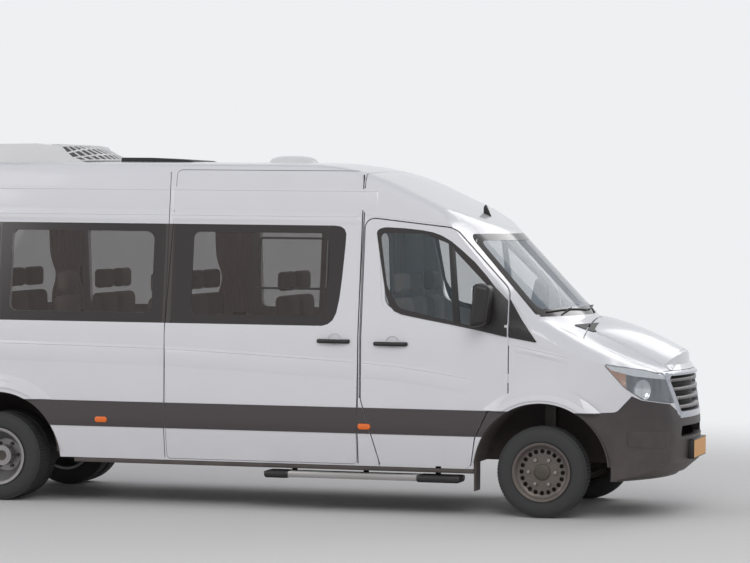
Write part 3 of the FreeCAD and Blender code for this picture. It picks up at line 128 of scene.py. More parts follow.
def blend(tree: bpy.types.NodeTree, share: object, first: object, second: object,
          kind: str = "MIX") -> bpy.types.NodeSocket:
    """Mix two colours, sockets or values, and return the result."""
    return add_node(tree, "ShaderNodeMix", {0: share, 6: first, 7: second}, data_type="RGBA",
                    blend_type=kind).outputs[2]


class Surface(Enum):
    """How a surface was made, which decides its fine relief."""

    SMOOTH = "smooth"
    ORANGE_PEEL = "sprayed"
    GRAIN = "moulded grain"
    CAST = "cast"
    BRUSHED = "brushed"
    WEAVE = "woven"
    RIBBED = "ribbed lens"


@dataclass(frozen=True)
class Finish:
    """One finish of the vehicle: colour, gloss and fine relief.

    scale_mm is the real size of one grain, thread or rib, drawn no finer
    than the render can show; soil is how far road dust darkens low parts.
    """

    name: str
    base: str
    roughness: float
    surface: Surface = Surface.SMOOTH
    scale_mm: float = 4.0
    relief: float = 0.1
    metallic: float = 0.0
    ior: float = 1.5
    coat: float = 0.0
    alpha: float = 1.0
    variation: float = 0.05
    soil: float = 0.0
    sheen: float = 0.0
    soil_base: str = "#8C8071"

    def start(self) -> tuple[bpy.types.Material, bpy.types.NodeTree, bpy.types.Node, bpy.types.NodeSocket]:
        """Make the bare material with its shader and object coordinates."""
        material = bpy.data.materials.new(self.name)
        material.use_nodes = True
        tree = material.node_tree
        tree.nodes.clear()
        shader = add_node(tree, "ShaderNodeBsdfPrincipled")
        output = add_node(tree, "ShaderNodeOutputMaterial")
        tree.links.new(shader.outputs[0], output.inputs["Surface"])
        for key, value in (
            ("Base Color", linear(self.base)), ("Roughness", self.roughness), ("Metallic", self.metallic),
            ("IOR", self.ior), ("Coat Weight", self.coat), ("Coat Roughness", 0.06), ("Alpha", self.alpha),
            ("Sheen Weight", self.sheen),
        ):
            shader.inputs[key].default_value = value
        place = add_node(tree, "ShaderNodeTexCoord").outputs["Object"]
        return material, tree, shader, place

    def tint(self, tree: bpy.types.NodeTree, place: bpy.types.NodeSocket) -> bpy.types.NodeSocket:
        """Return the base colour with slow variation and road dust low down."""
        cloud = add_node(tree, "ShaderNodeTexNoise", {"Vector": place, "Scale": 3.1, "Detail": 6.0})
        shade = add_node(tree, "ShaderNodeMapRange", {
            "Value": cloud.outputs["Fac"], "From Min": 0.3, "From Max": 0.7,
            "To Min": 1.0 - self.variation, "To Max": 1.0,
        })
        colour = blend(tree, 1.0, linear(self.base), shade.outputs[0], "MULTIPLY")
        if not self.soil:
            return colour
        height = add_node(tree, "ShaderNodeSeparateXYZ", {0: place}).outputs["Z"]
        low = add_node(tree, "ShaderNodeMapRange", {
            "Value": height, "From Min": 0.25, "From Max": 1.0, "To Min": self.soil, "To Max": 0.0,
        })
        fleck = add_node(tree, "ShaderNodeTexNoise", {"Vector": place, "Scale": 9.0, "Detail": 8.0})
        amount = compute(tree, "MULTIPLY", low.outputs[0], fleck.outputs["Fac"])
        return blend(tree, amount, colour, linear(self.soil_base))

    def height(self, tree: bpy.types.NodeTree, place: bpy.types.NodeSocket) -> bpy.types.NodeSocket | None:
        """Return the fine relief of the surface, if it has any."""
        per_metre = 1000.0 / self.scale_mm
        if self.surface is Surface.SMOOTH:
            return None
        if self.surface in (Surface.ORANGE_PEEL, Surface.CAST):
            detail = 3.0 if self.surface is Surface.CAST else 0.0
            return add_node(tree, "ShaderNodeTexNoise", {
                "Vector": place, "Scale": per_metre / 2, "Detail": detail,
            }).outputs["Fac"]
        if self.surface is Surface.GRAIN:
            cells = add_node(tree, "ShaderNodeTexVoronoi", {"Vector": place, "Scale": per_metre})
            return cells.outputs["Distance"]
        if self.surface is Surface.BRUSHED:
            scale = (4.0, per_metre, per_metre)
            stretched = add_node(tree, "ShaderNodeMapping", {"Vector": place, "Scale": scale}).outputs[0]
            return add_node(tree, "ShaderNodeTexNoise", {"Vector": stretched, "Scale": 1.0}).outputs["Fac"]
        axes = ("X", "Z") if self.surface is Surface.WEAVE else ("X",)
        threads = [
            add_node(tree, "ShaderNodeTexWave", {"Vector": place, "Scale": per_metre / 2 / math.pi},
                     wave_type="BANDS", bands_direction=axis).outputs["Fac"]
            for axis in axes
        ]
        if len(threads) == 1:
            return threads[0]
        return compute(tree, "MAXIMUM", *threads)

    def build(self) -> bpy.types.Material:
        """Build the material, or return it if it has been built before."""
        known = bpy.data.materials.get(self.name)
        if known:
            return known
        material, tree, shader, place = self.start()
        tree.links.new(self.tint(tree, place), shader.inputs["Base Color"])
        relief = self.height(tree, place)
        if relief:
            bump = add_node(tree, "ShaderNodeBump", {
                "Height": relief, "Strength": self.relief, "Distance": self.scale_mm / 4000.0,
            })
            tree.links.new(bump.outputs[0], shader.inputs["Normal"])
        return material


# Two-coat white enamel on pressed steel: hard gloss with a faint orange peel
ENAMEL = Finish("white_enamel_on_steel", "#DFDEE0", 0.28, Surface.ORANGE_PEEL, 9.0, 0.04, coat=0.5,
                variation=0.02, soil=0.16, soil_base="#A79C8E")
# Tempered soda-lime glass with a grey-bronze tint: dark, mirror smooth
TINTED_GLASS = Finish("tinted_tempered_glass", "#4A403D", 0.02, alpha=0.38, ior=1.52, variation=0.03)
# Glass of the cab doors: nearly clear
SCREEN_GLASS = Finish("laminated_screen_glass", "#5F6B70", 0.02, alpha=0.22, ior=1.52, variation=0.03)
# The windscreen's pale base colour is a painted reflection of the sky, stronger than on the cab glass
WINDSCREEN_WITH_PAINTED_SKY = Finish("laminated_windscreen_painted_sky", "#A9B4BC", 0.02, alpha=0.34, ior=1.52, variation=0.03)
# Ceramic frit burnt on the edge of the glass: black and glossy
FRIT = Finish("black_ceramic_frit", "#2A2422", 0.12, ior=1.52, variation=0.1)
# EPDM rubber seal: dull black
SEAL = Finish("epdm_seal", "#141414", 0.62, Surface.GRAIN, 3.0, 0.1)
# Mass-coloured polypropylene bumper: dark grey-brown with a fine moulded grain
BUMPER_PLASTIC = Finish("grained_polypropylene", "#3B3536", 0.5, Surface.GRAIN, 4.0, 0.16, soil=0.35)
# Black ABS of mirrors and handles
BLACK_ABS = Finish("black_abs", "#1E1A19", 0.42, Surface.GRAIN, 3.0, 0.12)
# Dark vacuum-formed trim inside the cab
CAB_TRIM = Finish("dashboard_trim", "#2E2D30", 0.6, Surface.GRAIN, 4.0, 0.3)
# Silver paint on ABS, as on a grille surround
SILVER_PAINT = Finish("silver_painted_abs", "#B4B6BE", 0.3, Surface.ORANGE_PEEL, 6.0, 0.05, metallic=0.35,
                      coat=0.4)
# Gelcoat on glass fibre: white, slightly wavy
GELCOAT = Finish("white_gelcoat", "#E4E3E0", 0.3, Surface.ORANGE_PEEL, 25.0, 0.08, coat=0.3, variation=0.04)
# Vulcanised tyre rubber: charcoal, greyed by dust
TYRE_RUBBER = Finish("tyre_rubber", "#151415", 0.74, Surface.CAST, 5.0, 0.25, soil=0.18, soil_base="#5C554E")
# Steel wheel in silver lacquer
WHEEL_SILVER = Finish("silver_wheel_lacquer", "#9C9A9B", 0.36, Surface.ORANGE_PEEL, 6.0, 0.08, metallic=0.5,
                      soil=0.25)
# Steel wheel in dark lacquer
WHEEL_DARK = Finish("dark_wheel_lacquer", "#5C5553", 0.4, Surface.ORANGE_PEEL, 6.0, 0.08, metallic=0.5,
                    soil=0.4)
# Black wax-coated chassis steel
CHASSIS_STEEL = Finish("waxed_chassis_steel", "#1F1E20", 0.5, Surface.CAST, 8.0, 0.15, metallic=0.3, soil=0.6)
# Cast iron of knuckles and engine
CAST_IRON = Finish("cast_iron", "#4A4846", 0.6, Surface.CAST, 6.0, 0.4, metallic=0.7, soil=0.4)
# Zinc-plated fasteners
ZINC = Finish("zinc_plated_steel", "#8F8B88", 0.38, Surface.BRUSHED, 3.0, 0.1, metallic=0.9)
# Aluminised steel of the exhaust
EXHAUST_STEEL = Finish("aluminised_steel", "#86837F", 0.45, Surface.BRUSHED, 4.0, 0.2, metallic=0.8, soil=0.4)
# Anodised aluminium tread of the side step
ALUMINIUM = Finish("anodised_aluminium", "#A9A7A6", 0.35, Surface.BRUSHED, 3.0, 0.15, metallic=0.85, soil=0.2)
# Vinyl floor
VINYL = Finish("grey_vinyl_floor", "#4C4B4C", 0.6, Surface.GRAIN, 6.0, 0.2)
# Woven polyester seat cover
SEAT_CLOTH = Finish("woven_seat_cloth", "#8E8479", 0.85, Surface.WEAVE, 6.0, 0.35, sheen=0.25)
# Thin woven polyester curtain
CURTAIN_CLOTH = Finish("woven_curtain_cloth", "#E6DDCF", 0.9, Surface.WEAVE, 5.0, 0.2, sheen=0.3)
# Silvered mirror glass
MIRROR_GLASS = Finish("silvered_mirror_glass", "#C9D0D4", 0.03, metallic=1.0)
# Vacuum-metallised reflector
REFLECTOR = Finish("metallised_reflector", "#D5D6D8", 0.12, metallic=1.0)
# Clear polycarbonate lamp cover
LAMP_COVER = Finish("clear_polycarbonate", "#C8D2DA", 0.03, alpha=0.28, ior=1.58, coat=0.6)
# Amber acrylic, as on side markers
AMBER = Finish("amber_acrylic", "#F2700F", 0.18, Surface.RIBBED, 5.0, 0.4, coat=0.4)
# Blank number plate in retroreflective orange-yellow
PLATE = Finish("retroreflective_plate", "#E39A22", 0.4, Surface.CAST, 2.0, 0.05)


# Small tools for modelling


def focus(obj: bpy.types.Object) -> None:
    """Leave object mode's selection with just this object."""
    if bpy.context.object and bpy.context.object.mode != "OBJECT":
        bpy.ops.object.mode_set(mode="OBJECT")
    bpy.ops.object.select_all(action="DESELECT")
    obj.select_set(True)
    bpy.context.view_layer.objects.active = obj


@contextmanager
def edited(obj: bpy.types.Object) -> Iterator[None]:
    """Open an object in edit mode with all selected, then close it again."""
    focus(obj)
    bpy.ops.object.mode_set(mode="EDIT")
    bpy.ops.mesh.select_all(action="SELECT")
    yield
    bpy.ops.object.mode_set(mode="OBJECT")


def newest(name: str) -> bpy.types.Object:
    """Name the primitive that an operator has just added."""
    obj = bpy.context.object
    obj.name = name
    obj.data.name = name
    return obj


def settle(obj: bpy.types.Object) -> bpy.types.Object:
    """Put an object's place, turn and scale into its mesh."""
    focus(obj)
    bpy.ops.object.transform_apply(location=True, rotation=True, scale=True)
    return obj


def modify(obj: bpy.types.Object, kind: str, **settings: object) -> bpy.types.Object:
    """Add a modifier and apply it at once."""
    focus(obj)
    modifier = obj.modifiers.new(kind.title(), kind)
    for key, value in settings.items():
        setattr(modifier, key, value)
    bpy.ops.object.modifier_apply(modifier=modifier.name)
    return obj


def shade(obj: bpy.types.Object, angle: float = 32.0) -> bpy.types.Object:
    """Shade smooth below an angle in degrees."""
    focus(obj)
    bpy.ops.object.shade_smooth_by_angle(angle=math.radians(angle))
    return obj


def bevelled(obj: bpy.types.Object, width: float, segments: int = 2, angle: float = 40.0) -> bpy.types.Object:
    """Round the edges that are sharper than an angle in degrees."""
    return modify(obj, "BEVEL", width=width, segments=segments, limit_method="ANGLE",
                  angle_limit=math.radians(angle))


def carved(obj: bpy.types.Object, tool: bpy.types.Object, operation: str = "DIFFERENCE",
           **settings: object) -> bpy.types.Object:
    """Cut an object with a tool, which is used up."""
    modify(obj, "BOOLEAN", object=tool, operation=operation, solver="EXACT", **settings)
    bpy.data.objects.remove(tool)
    return obj


def outward(obj: bpy.types.Object) -> bpy.types.Object:
    """Merge doubles and turn all faces outwards."""
    with edited(obj):
        bpy.ops.mesh.remove_doubles(threshold=0.00005)
        bpy.ops.mesh.dissolve_degenerate(threshold=0.00002)
        bpy.ops.mesh.delete_loose()
        bpy.ops.mesh.select_all(action="SELECT")
        bpy.ops.mesh.normals_make_consistent(inside=False)
    return obj


def cuboid(name: str, low: Point, high: Point, bevel: float = 0.004, segments: int = 2) -> bpy.types.Object:
    """Add a box between two corners with rounded edges.

    Args:
        name: Name of the piece.
        low: Lowest corner in metres.
        high: Highest corner in metres.
        bevel: Radius of the edges.
        segments: Faces across each rounded edge.

    Returns:
        The finished object, at the origin.
    """
    centre = [(a + b) / 2 for a, b in zip(low, high)]
    size = [b - a for a, b in zip(low, high)]
    bpy.ops.mesh.primitive_cube_add(size=1.0, location=centre)
    obj = newest(name)
    obj.scale = size
    settle(obj)
    if bevel:
        bevelled(obj, bevel, segments)
    return shade(obj)


def extruded(name: str, outline: list[Pair], place: Placing, low: float, high: float,
             bevel: float = 0.0) -> bpy.types.Object:
    """Extrude a closed outline between two depths.

    Args:
        name: Name of the piece.
        outline: Points of the outline.
        place: Turns (a, b, depth) into a point in metres.
        low: Depth of the first face.
        high: Depth of the second face.
        bevel: Radius of its edges.

    Returns:
        The finished object, at the origin.
    """
    bpy.ops.mesh.primitive_circle_add(vertices=len(outline), radius=1.0, fill_type="NGON")
    obj = newest(name)
    for vertex, (a, b) in zip(obj.data.vertices, outline):
        vertex.co = place(a, b, low)
    move = Vector(place(*outline[0], high)) - Vector(place(*outline[0], low))
    with edited(obj):
        bpy.ops.mesh.extrude_region_move(TRANSFORM_OT_translate={"value": move})
    outward(obj)
    if bevel:
        bevelled(obj, bevel, angle=35)
    return shade(obj)


def rounded(points: Iterable[tuple[float, float, float]], steps: int = 6) -> list[Pair]:
    """Return an outline whose corners, given as (a, b, radius), are rounded."""
    corners = list(points)
    result: list[Pair] = []
    for i, (a, b, radius) in enumerate(corners):
        here = Vector((a, b))
        before = (Vector(corners[i - 1][:2]) - here).normalized()
        after = (Vector(corners[(i + 1) % len(corners)][:2]) - here).normalized()
        if radius <= 0:
            result.append((a, b))
            continue
        half = before.angle(after) / 2
        reach = radius / math.tan(half)
        centre = here + (before + after).normalized() * (radius / math.sin(half))
        start = here + before * reach - centre
        end = here + after * reach - centre
        for k in range(steps + 1):
            spot = centre + start.slerp(end, k / steps).normalized() * radius
            result.append((spot.x, spot.y))
    return result


def spun(name: str, profile: list[Pair], centre: Point, side: int, steps: int = 96) -> bpy.types.Object:
    """Spin a closed profile about a line along Y.

    Args:
        name: Name of the piece.
        profile: Points as (axial, radius); axial grows outwards from the vehicle.
        centre: A point of the axis.
        side: 1 on the vehicle's left, -1 on its right.
        steps: Faces round the ring.

    Returns:
        The finished ring.
    """
    x, y, z = centre
    bpy.ops.mesh.primitive_circle_add(vertices=len(profile), radius=1.0, fill_type="NOTHING")
    obj = newest(name)
    for vertex, (a, r) in zip(obj.data.vertices, profile):
        vertex.co = (x, y + side * a, z + r)
    with edited(obj):
        bpy.ops.mesh.spin(steps=steps, angle=math.tau, center=centre, axis=(0, 1, 0), use_auto_merge=True)
    return shade(outward(obj), 40)


def tube(name: str, route: list[Point], radius: float) -> bpy.types.Object:
    """Make a round bar along a route as a mesh."""
    curve = bpy.data.curves.new(name, "CURVE")
    curve.dimensions = "3D"
    curve.bevel_depth = radius
    curve.bevel_resolution = 3
    curve.use_fill_caps = True
    spline = curve.splines.new("POLY")
    spline.points.add(len(route) - 1)
    for point, spot in zip(spline.points, route):
        point.co = (*spot, 1.0)
    obj = bpy.data.objects.new(name, curve)
    bpy.context.collection.objects.link(obj)
    focus(obj)
    bpy.ops.object.convert(target="MESH")
    obj = newest(name)
    return shade(outward(obj), 50)


def lofted(name: str, rings: list[list[Point]], angle: float = 35.0) -> bpy.types.Object:
    """Skin a row of closed rings with equal numbers of points, and close its ends.

    Args:
        name: Name of the piece.
        rings: The rings, each a list of points in metres.
        angle: Edges sharper than this stay sharp.

    Returns:
        The finished object, at the origin.
    """
    along, around = len(rings) - 1, len(rings[0])
    bpy.ops.mesh.primitive_grid_add(x_subdivisions=along, y_subdivisions=around, size=1.0)
    obj = newest(name)
    for vertex in obj.data.vertices:
        i = round((vertex.co.x + 0.5) * along)
        j = round((vertex.co.y + 0.5) * around) % around
        vertex.co = rings[i][j]
    with edited(obj):
        bpy.ops.mesh.remove_doubles(threshold=0.00005)
        bpy.ops.mesh.fill_holes(sides=0)
    return shade(outward(obj), angle)


def side_y(height: float) -> float:
    """Return the half width of the body side at one height."""
    above, below = max(0.0, height - BELT_HEIGHT), max(0.0, WAIST_HEIGHT - height)
    return BELT_HALF - above * SIDE_LEAN - below * SILL_TUCK


def side_on(a: float, b: float, depth: float) -> Point:
    """Place an outline that is seen from the side."""
    return (a, depth, b)


def head_on(a: float, b: float, depth: float) -> Point:
    """Place an outline that is seen from the front."""
    return (depth, a, b)


def from_above(a: float, b: float, depth: float) -> Point:
    """Place an outline that is seen from above."""
    return (a, b, depth)


def on_side(side: int) -> Placing:
    """Return a placing of (place, height, depth outside the side's surface)."""
    return lambda a, b, d: (a, side * (side_y(b) + d), b)


def merged(name: str, parts: list[bpy.types.Object]) -> bpy.types.Object:
    """Join pieces of one finish into one object."""
    focus(parts[0])
    for part in parts[1:]:
        part.select_set(True)
    if len(parts) > 1:
        bpy.ops.object.join()
    return newest(name)


def dress(obj: bpy.types.Object, finish: Finish, body: str,
          replaces: tuple[str, ...] = ()) -> bpy.types.Object:
    """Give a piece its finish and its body.

    Args:
        obj: The piece.
        finish: What it is made of.
        body: The CAD body that it rides on.
        replaces: CAD nodes that it stands for.

    Returns:
        The same piece.
    """
    obj.data.materials.clear()
    obj.data.materials.append(finish.build())
    for polygon in obj.data.polygons:
        polygon.material_index = 0
    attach(obj, body)
    if replaces:
        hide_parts(*replaces)
    LOG.info("%s: %s on %s, %d faces", obj.name, finish.name, body, len(obj.data.polygons))
    return obj


def dress_patch(patch: bpy.types.Object, finish: Finish, body: str) -> None:
    """Dress a patch, or drop it where its panel doesn't reach."""
    if len(patch.data.polygons):
        dress(patch, finish, body)
    else:
        bpy.data.objects.remove(patch)


@dataclass
class Frame:
    """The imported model: which body and slot each node has."""

    packed: dict
    body_of: dict[str, str] = field(default_factory=dict)
    slot_of: dict[str, str] = field(default_factory=dict)

    def __post_init__(self) -> None:
        """Read the record's tables."""
        record = self.packed["record"]
        for body, nodes in record["behaviour"]["bodies"].items():
            for node in nodes:
                self.body_of[node] = body
        for part in record["subparts"]:
            self.slot_of[part["node"]] = part["material_slot"]

    def copied(self, node: str, name: str) -> bpy.types.Object:
        """Return a merged, editable copy of a CAD node."""
        source = self.packed["nodes"][node]
        obj = source.copy()
        obj.data = source.data.copy()
        obj.name = name
        obj.data.name = name
        obj.parent = None
        obj.matrix_world = Matrix.Identity(4)
        obj.hide_viewport = False
        obj.hide_render = False
        bpy.context.collection.objects.link(obj)
        with edited(obj):
            bpy.ops.mesh.remove_doubles(threshold=0.00002)
        return obj

    def overlay(self, node: str, name: str, tool: bpy.types.Object, rise: Point,
                bevel: float = 0.0) -> bpy.types.Object:
        """Cut a patch out of a copy of a panel and move it a little outwards.

        Args:
            node: The panel's CAD node.
            name: Name of the patch.
            tool: Prism round the patch, which is used up.
            rise: How far the patch moves.
            bevel: Radius of its edges.

        Returns:
            The patch.
        """
        patch = carved(self.copied(node, name), tool, "INTERSECT")
        patch.data.transform(Matrix.Translation(rise))
        if bevel:
            bevelled(patch, bevel)
        return shade(patch, 28)

    def skinned(self, node: str, finish: Finish, angle: float = 28.0) -> bpy.types.Object:
        """Replace a CAD node by the same form, merged, smooth and finished."""
        obj = self.copied(node, f"{node}_dressed")
        shade(obj, angle)
        return dress(obj, finish, self.body_of[node], (node,))


@dataclass
class EvenShading:
    """Surface directions averaged over all large panels.

    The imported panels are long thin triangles, which would streak in gloss.
    They are cut by a grid of planes, and each corner then takes the mean
    direction of the surface within reach.
    """

    reach: float = 0.10
    spacing: float = 0.03
    alike: float = 0.80
    step: Point = (0.16, 0.30, 0.11)
    shift: float = 0.0003
    panels: list[bpy.types.Object] = field(default_factory=list)

    def grid(self, obj: bpy.types.Object) -> None:
        """Cut a panel along three families of planes."""
        low = [min(v.co[k] for v in obj.data.vertices) for k in range(3)]
        high = [max(v.co[k] for v in obj.data.vertices) for k in range(3)]
        with edited(obj):
            for axis in range(3):
                across = [0.0, 0.0, 0.0]
                across[axis] = 1.0
                first = math.floor(low[axis] / self.step[axis]) + 1
                for number in range(first, math.ceil(high[axis] / self.step[axis])):
                    spot = [0.0, 0.0, 0.0]
                    spot[axis] = number * self.step[axis] + self.shift
                    bpy.ops.mesh.select_all(action="SELECT")
                    bpy.ops.mesh.bisect(plane_co=spot, plane_no=across)

    def samples(self) -> tuple[np.ndarray, np.ndarray, np.ndarray]:
        """Return points spread over all panels, with their directions and areas."""
        spots, ways, sizes = [], [], []
        for obj in self.panels:
            mesh = obj.data
            mesh.calc_loop_triangles()
            co = np.empty(len(mesh.vertices) * 3)
            mesh.vertices.foreach_get("co", co)
            tri = np.empty(len(mesh.loop_triangles) * 3, dtype=np.int32)
            mesh.loop_triangles.foreach_get("vertices", tri)
            a, b, c = co.reshape(-1, 3)[tri.reshape(-1, 3)].transpose(1, 0, 2)
            normal = np.cross(b - a, c - a)
            area = np.linalg.norm(normal, axis=1) / 2
            keep = area > 1e-9
            a, b, c, normal, area = a[keep], b[keep], c[keep], normal[keep], area[keep]
            count = np.ceil(area / self.spacing ** 2).astype(int)
            order = np.arange(count.sum())
            u, v = (order * 0.7548777) % 1.0, (order * 0.5698403) % 1.0
            u, v = np.where(u + v > 1, 1 - u, u), np.where(u + v > 1, 1 - v, v)
            at = np.repeat(np.arange(len(area)), count)
            spots.append(a[at] + u[:, None] * (b - a)[at] + v[:, None] * (c - a)[at])
            ways.append((normal / (2 * area[:, None]))[at])
            sizes.append((area / count)[at])
        return np.concatenate(spots), np.concatenate(ways), np.concatenate(sizes)

    def build(self) -> None:
        """Cut the panels and give their corners the averaged directions."""
        for obj in self.panels:
            self.grid(obj)
        spots, ways, sizes = self.samples()
        tree = KDTree(len(spots))
        for index, spot in enumerate(spots):
            tree.insert(spot, index)
        tree.balance()
        for obj in self.panels:
            mesh = obj.data
            corners: dict[int, list[tuple[int, Vector]]] = {}
            for face in mesh.polygons:
                for loop in face.loop_indices:
                    corners.setdefault(mesh.loops[loop].vertex_index, []).append((loop, face.normal))
            result = np.zeros((len(mesh.loops), 3))
            for vertex, loops in corners.items():
                near = tree.find_range(mesh.vertices[vertex].co, self.reach)
                index = np.array([n[1] for n in near], dtype=int)
                weight = sizes[index] * (1.0 - (np.array([n[2] for n in near]) / self.reach) ** 2)
                for loop, own in loops:
                    way = np.array(own)
                    fit = ways[index] @ way > self.alike
                    total = (ways[index[fit]] * weight[fit, None]).sum(0)
                    length = np.linalg.norm(total)
                    result[loop] = total / length if length > 1e-9 else way
            mesh.normals_split_custom_set([tuple(n) for n in result])
        LOG.info("even shading: %d panels, %d samples", len(self.panels), len(spots))


@dataclass(frozen=True)
class Zone:
    """A region of a piece with its own colour and gloss, bounded in metres.

    wide bounds the distance from the middle plane; ring is the place of an
    upright axis and the bounds of the distance from it.
    """

    base: str
    roughness: float
    long: Pair | None = None
    wide: Pair | None = None
    high: Pair | None = None
    ring: tuple[float, float, float] | None = None


@dataclass(frozen=True)
class ZonedFinish(Finish):
    """A finish with zones of another colour, as moulded in or laid on."""

    zones: tuple[Zone, ...] = ()

    def mask(self, tree: bpy.types.NodeTree, place: bpy.types.NodeSocket, zone: Zone) -> bpy.types.NodeSocket:
        """Return 1 inside a zone and 0 outside."""
        parts = add_node(tree, "ShaderNodeSeparateXYZ", {0: place})
        along, up = parts.outputs["X"], parts.outputs["Z"]
        across = compute(tree, "ABSOLUTE", parts.outputs["Y"])
        tests: list[tuple[bpy.types.NodeSocket, Pair]] = []
        for socket, bounds in ((along, zone.long), (across, zone.wide), (up, zone.high)):
            if bounds:
                tests.append((socket, bounds))
        if zone.ring:
            axis_x, low, high = zone.ring
            run = compute(tree, "SUBTRACT", along, axis_x)
            spot = add_node(tree, "ShaderNodeCombineXYZ", {"X": run, "Y": across})
            reach = add_node(tree, "ShaderNodeVectorMath", {0: spot.outputs[0]}, operation="LENGTH")
            tests.append((reach.outputs["Value"], (low, high)))
        result: bpy.types.NodeSocket | None = None
        for socket, (low, high) in tests:
            for value, operation in ((low, "GREATER_THAN"), (high, "LESS_THAN")):
                test = compute(tree, operation, socket, value)
                result = test if result is None else compute(tree, "MULTIPLY", result, test)
        return result

    def build(self) -> bpy.types.Material:
        """Build the plain finish, then lay the zones over its colour and gloss."""
        if bpy.data.materials.get(self.name):
            return bpy.data.materials[self.name]
        material = super().build()
        tree = material.node_tree
        shader = next(n for n in tree.nodes if n.type == "BSDF_PRINCIPLED")
        place = add_node(tree, "ShaderNodeTexCoord").outputs["Object"]
        colour = shader.inputs["Base Color"].links[0].from_socket
        gloss: bpy.types.NodeSocket | float = self.roughness
        for zone in self.zones:
            inside = self.mask(tree, place, zone)
            colour = blend(tree, inside, colour, linear(zone.base))
            gloss = add_node(tree, "ShaderNodeMix", {0: inside, 2: gloss, 3: zone.roughness},
                             data_type="FLOAT").outputs[0]
        tree.links.new(colour, shader.inputs["Base Color"])
        tree.links.new(gloss, shader.inputs["Roughness"])
        return material


def zoned_enamel(name: str, *zones: Zone) -> ZonedFinish:
    """Return the panels' white enamel with zones of another colour."""
    return ZonedFinish(name, ENAMEL.base, ENAMEL.roughness, ENAMEL.surface, ENAMEL.scale_mm, ENAMEL.relief,
                       coat=0.4, variation=ENAMEL.variation, soil=ENAMEL.soil, soil_base=ENAMEL.soil_base,
                       zones=zones)


# The dark rubbing band along the doors and panels
BAND_ZONE = Zone("#3A3232", 0.5, wide=(0.9888, 1.1), high=(0.6005, 0.7985))
# Black strips that join the glass across the door's shut line and across the pillar behind it
STRIP_ZONE = Zone("#3B3431", 0.12, long=(-0.5720, -0.4600), wide=(0.80, 0.987), high=(1.410, 2.172))
REAR_STRIP_ZONE = Zone("#3B3431", 0.12, long=(-1.9300, -1.8750), wide=(0.80, 0.987), high=(1.410, 2.172))
# Dark foot of the fender between the door and the wheel arch
FOOT_ZONE = Zone("#3A3232", 0.5, long=(1.60, 2.30), wide=(0.90, 1.1), high=(0.6005, 0.7985))
# Enamelled panels with the dark rubbing band glued on
BANDED_ENAMEL = zoned_enamel("white_enamel_with_band", BAND_ZONE, STRIP_ZONE, REAR_STRIP_ZONE)
FENDER_ENAMEL = zoned_enamel("white_enamel_with_foot", BAND_ZONE, FOOT_ZONE)
# Black grille insert whose blades are painted grey on their front edges
GRILLE_PLASTIC = ZonedFinish("grille_insert", "#15110F", 0.5, Surface.GRAIN, 4.0, 0.1,
                             zones=(Zone("#76706F", 0.35, ring=(1.805, 1.600, 1.70)),))
# Tail lamp cover in red acrylic with an amber and a clear part
TAIL_ACRYLIC = ZonedFinish("red_acrylic", "#A01310", 0.15, Surface.RIBBED, 6.0, 0.5, coat=0.5, zones=(
    Zone("#D9650F", 0.15, high=(1.25, 1.36)), Zone("#D8D6D2", 0.15, high=(1.14, 1.24)),
))

# Full outline of the cab door's glass with its black border, as (place, height)
CAB_GLASS = [
    (1.131, 2.119), (1.138, 2.140), (1.159, 2.154), (1.190, 2.162), (1.217, 2.164), (1.350, 2.158),
    (1.491, 2.144), (1.570, 2.130), (1.640, 2.106), (1.719, 2.062), (1.799, 1.999), (1.903, 1.911),
    (2.000, 1.807), (2.048, 1.748), (2.086, 1.705), (2.086, 1.378), (1.878, 1.412), (1.728, 1.440),
    (1.494, 1.480), (1.345, 1.508), (1.290, 1.532), (1.250, 1.575), (1.222, 1.652), (1.200, 1.750),
    (1.183, 1.840), (1.154, 1.991),
]
# Black lamp housing behind the clear cover, with its amber rear part
HOUSING = ZonedFinish("lamp_housing", "#2A2422", 0.25, coat=0.5,
                      zones=(Zone("#B06F2C", 0.2, long=(2.80, 3.050)),))
# Full outline of the sliding door's glass, front end as in the photograph
SLIDE_GLASS = [
    (-0.484, 1.410), (-0.484, 2.172), (0.800, 2.172), (0.846, 2.166), (0.878, 2.146), (0.893, 2.110),
    (0.890, 2.025), (0.873, 1.772), (0.859, 1.624), (0.838, 1.511), (0.812, 1.456), (0.775, 1.424),
    (0.726, 1.410),
]


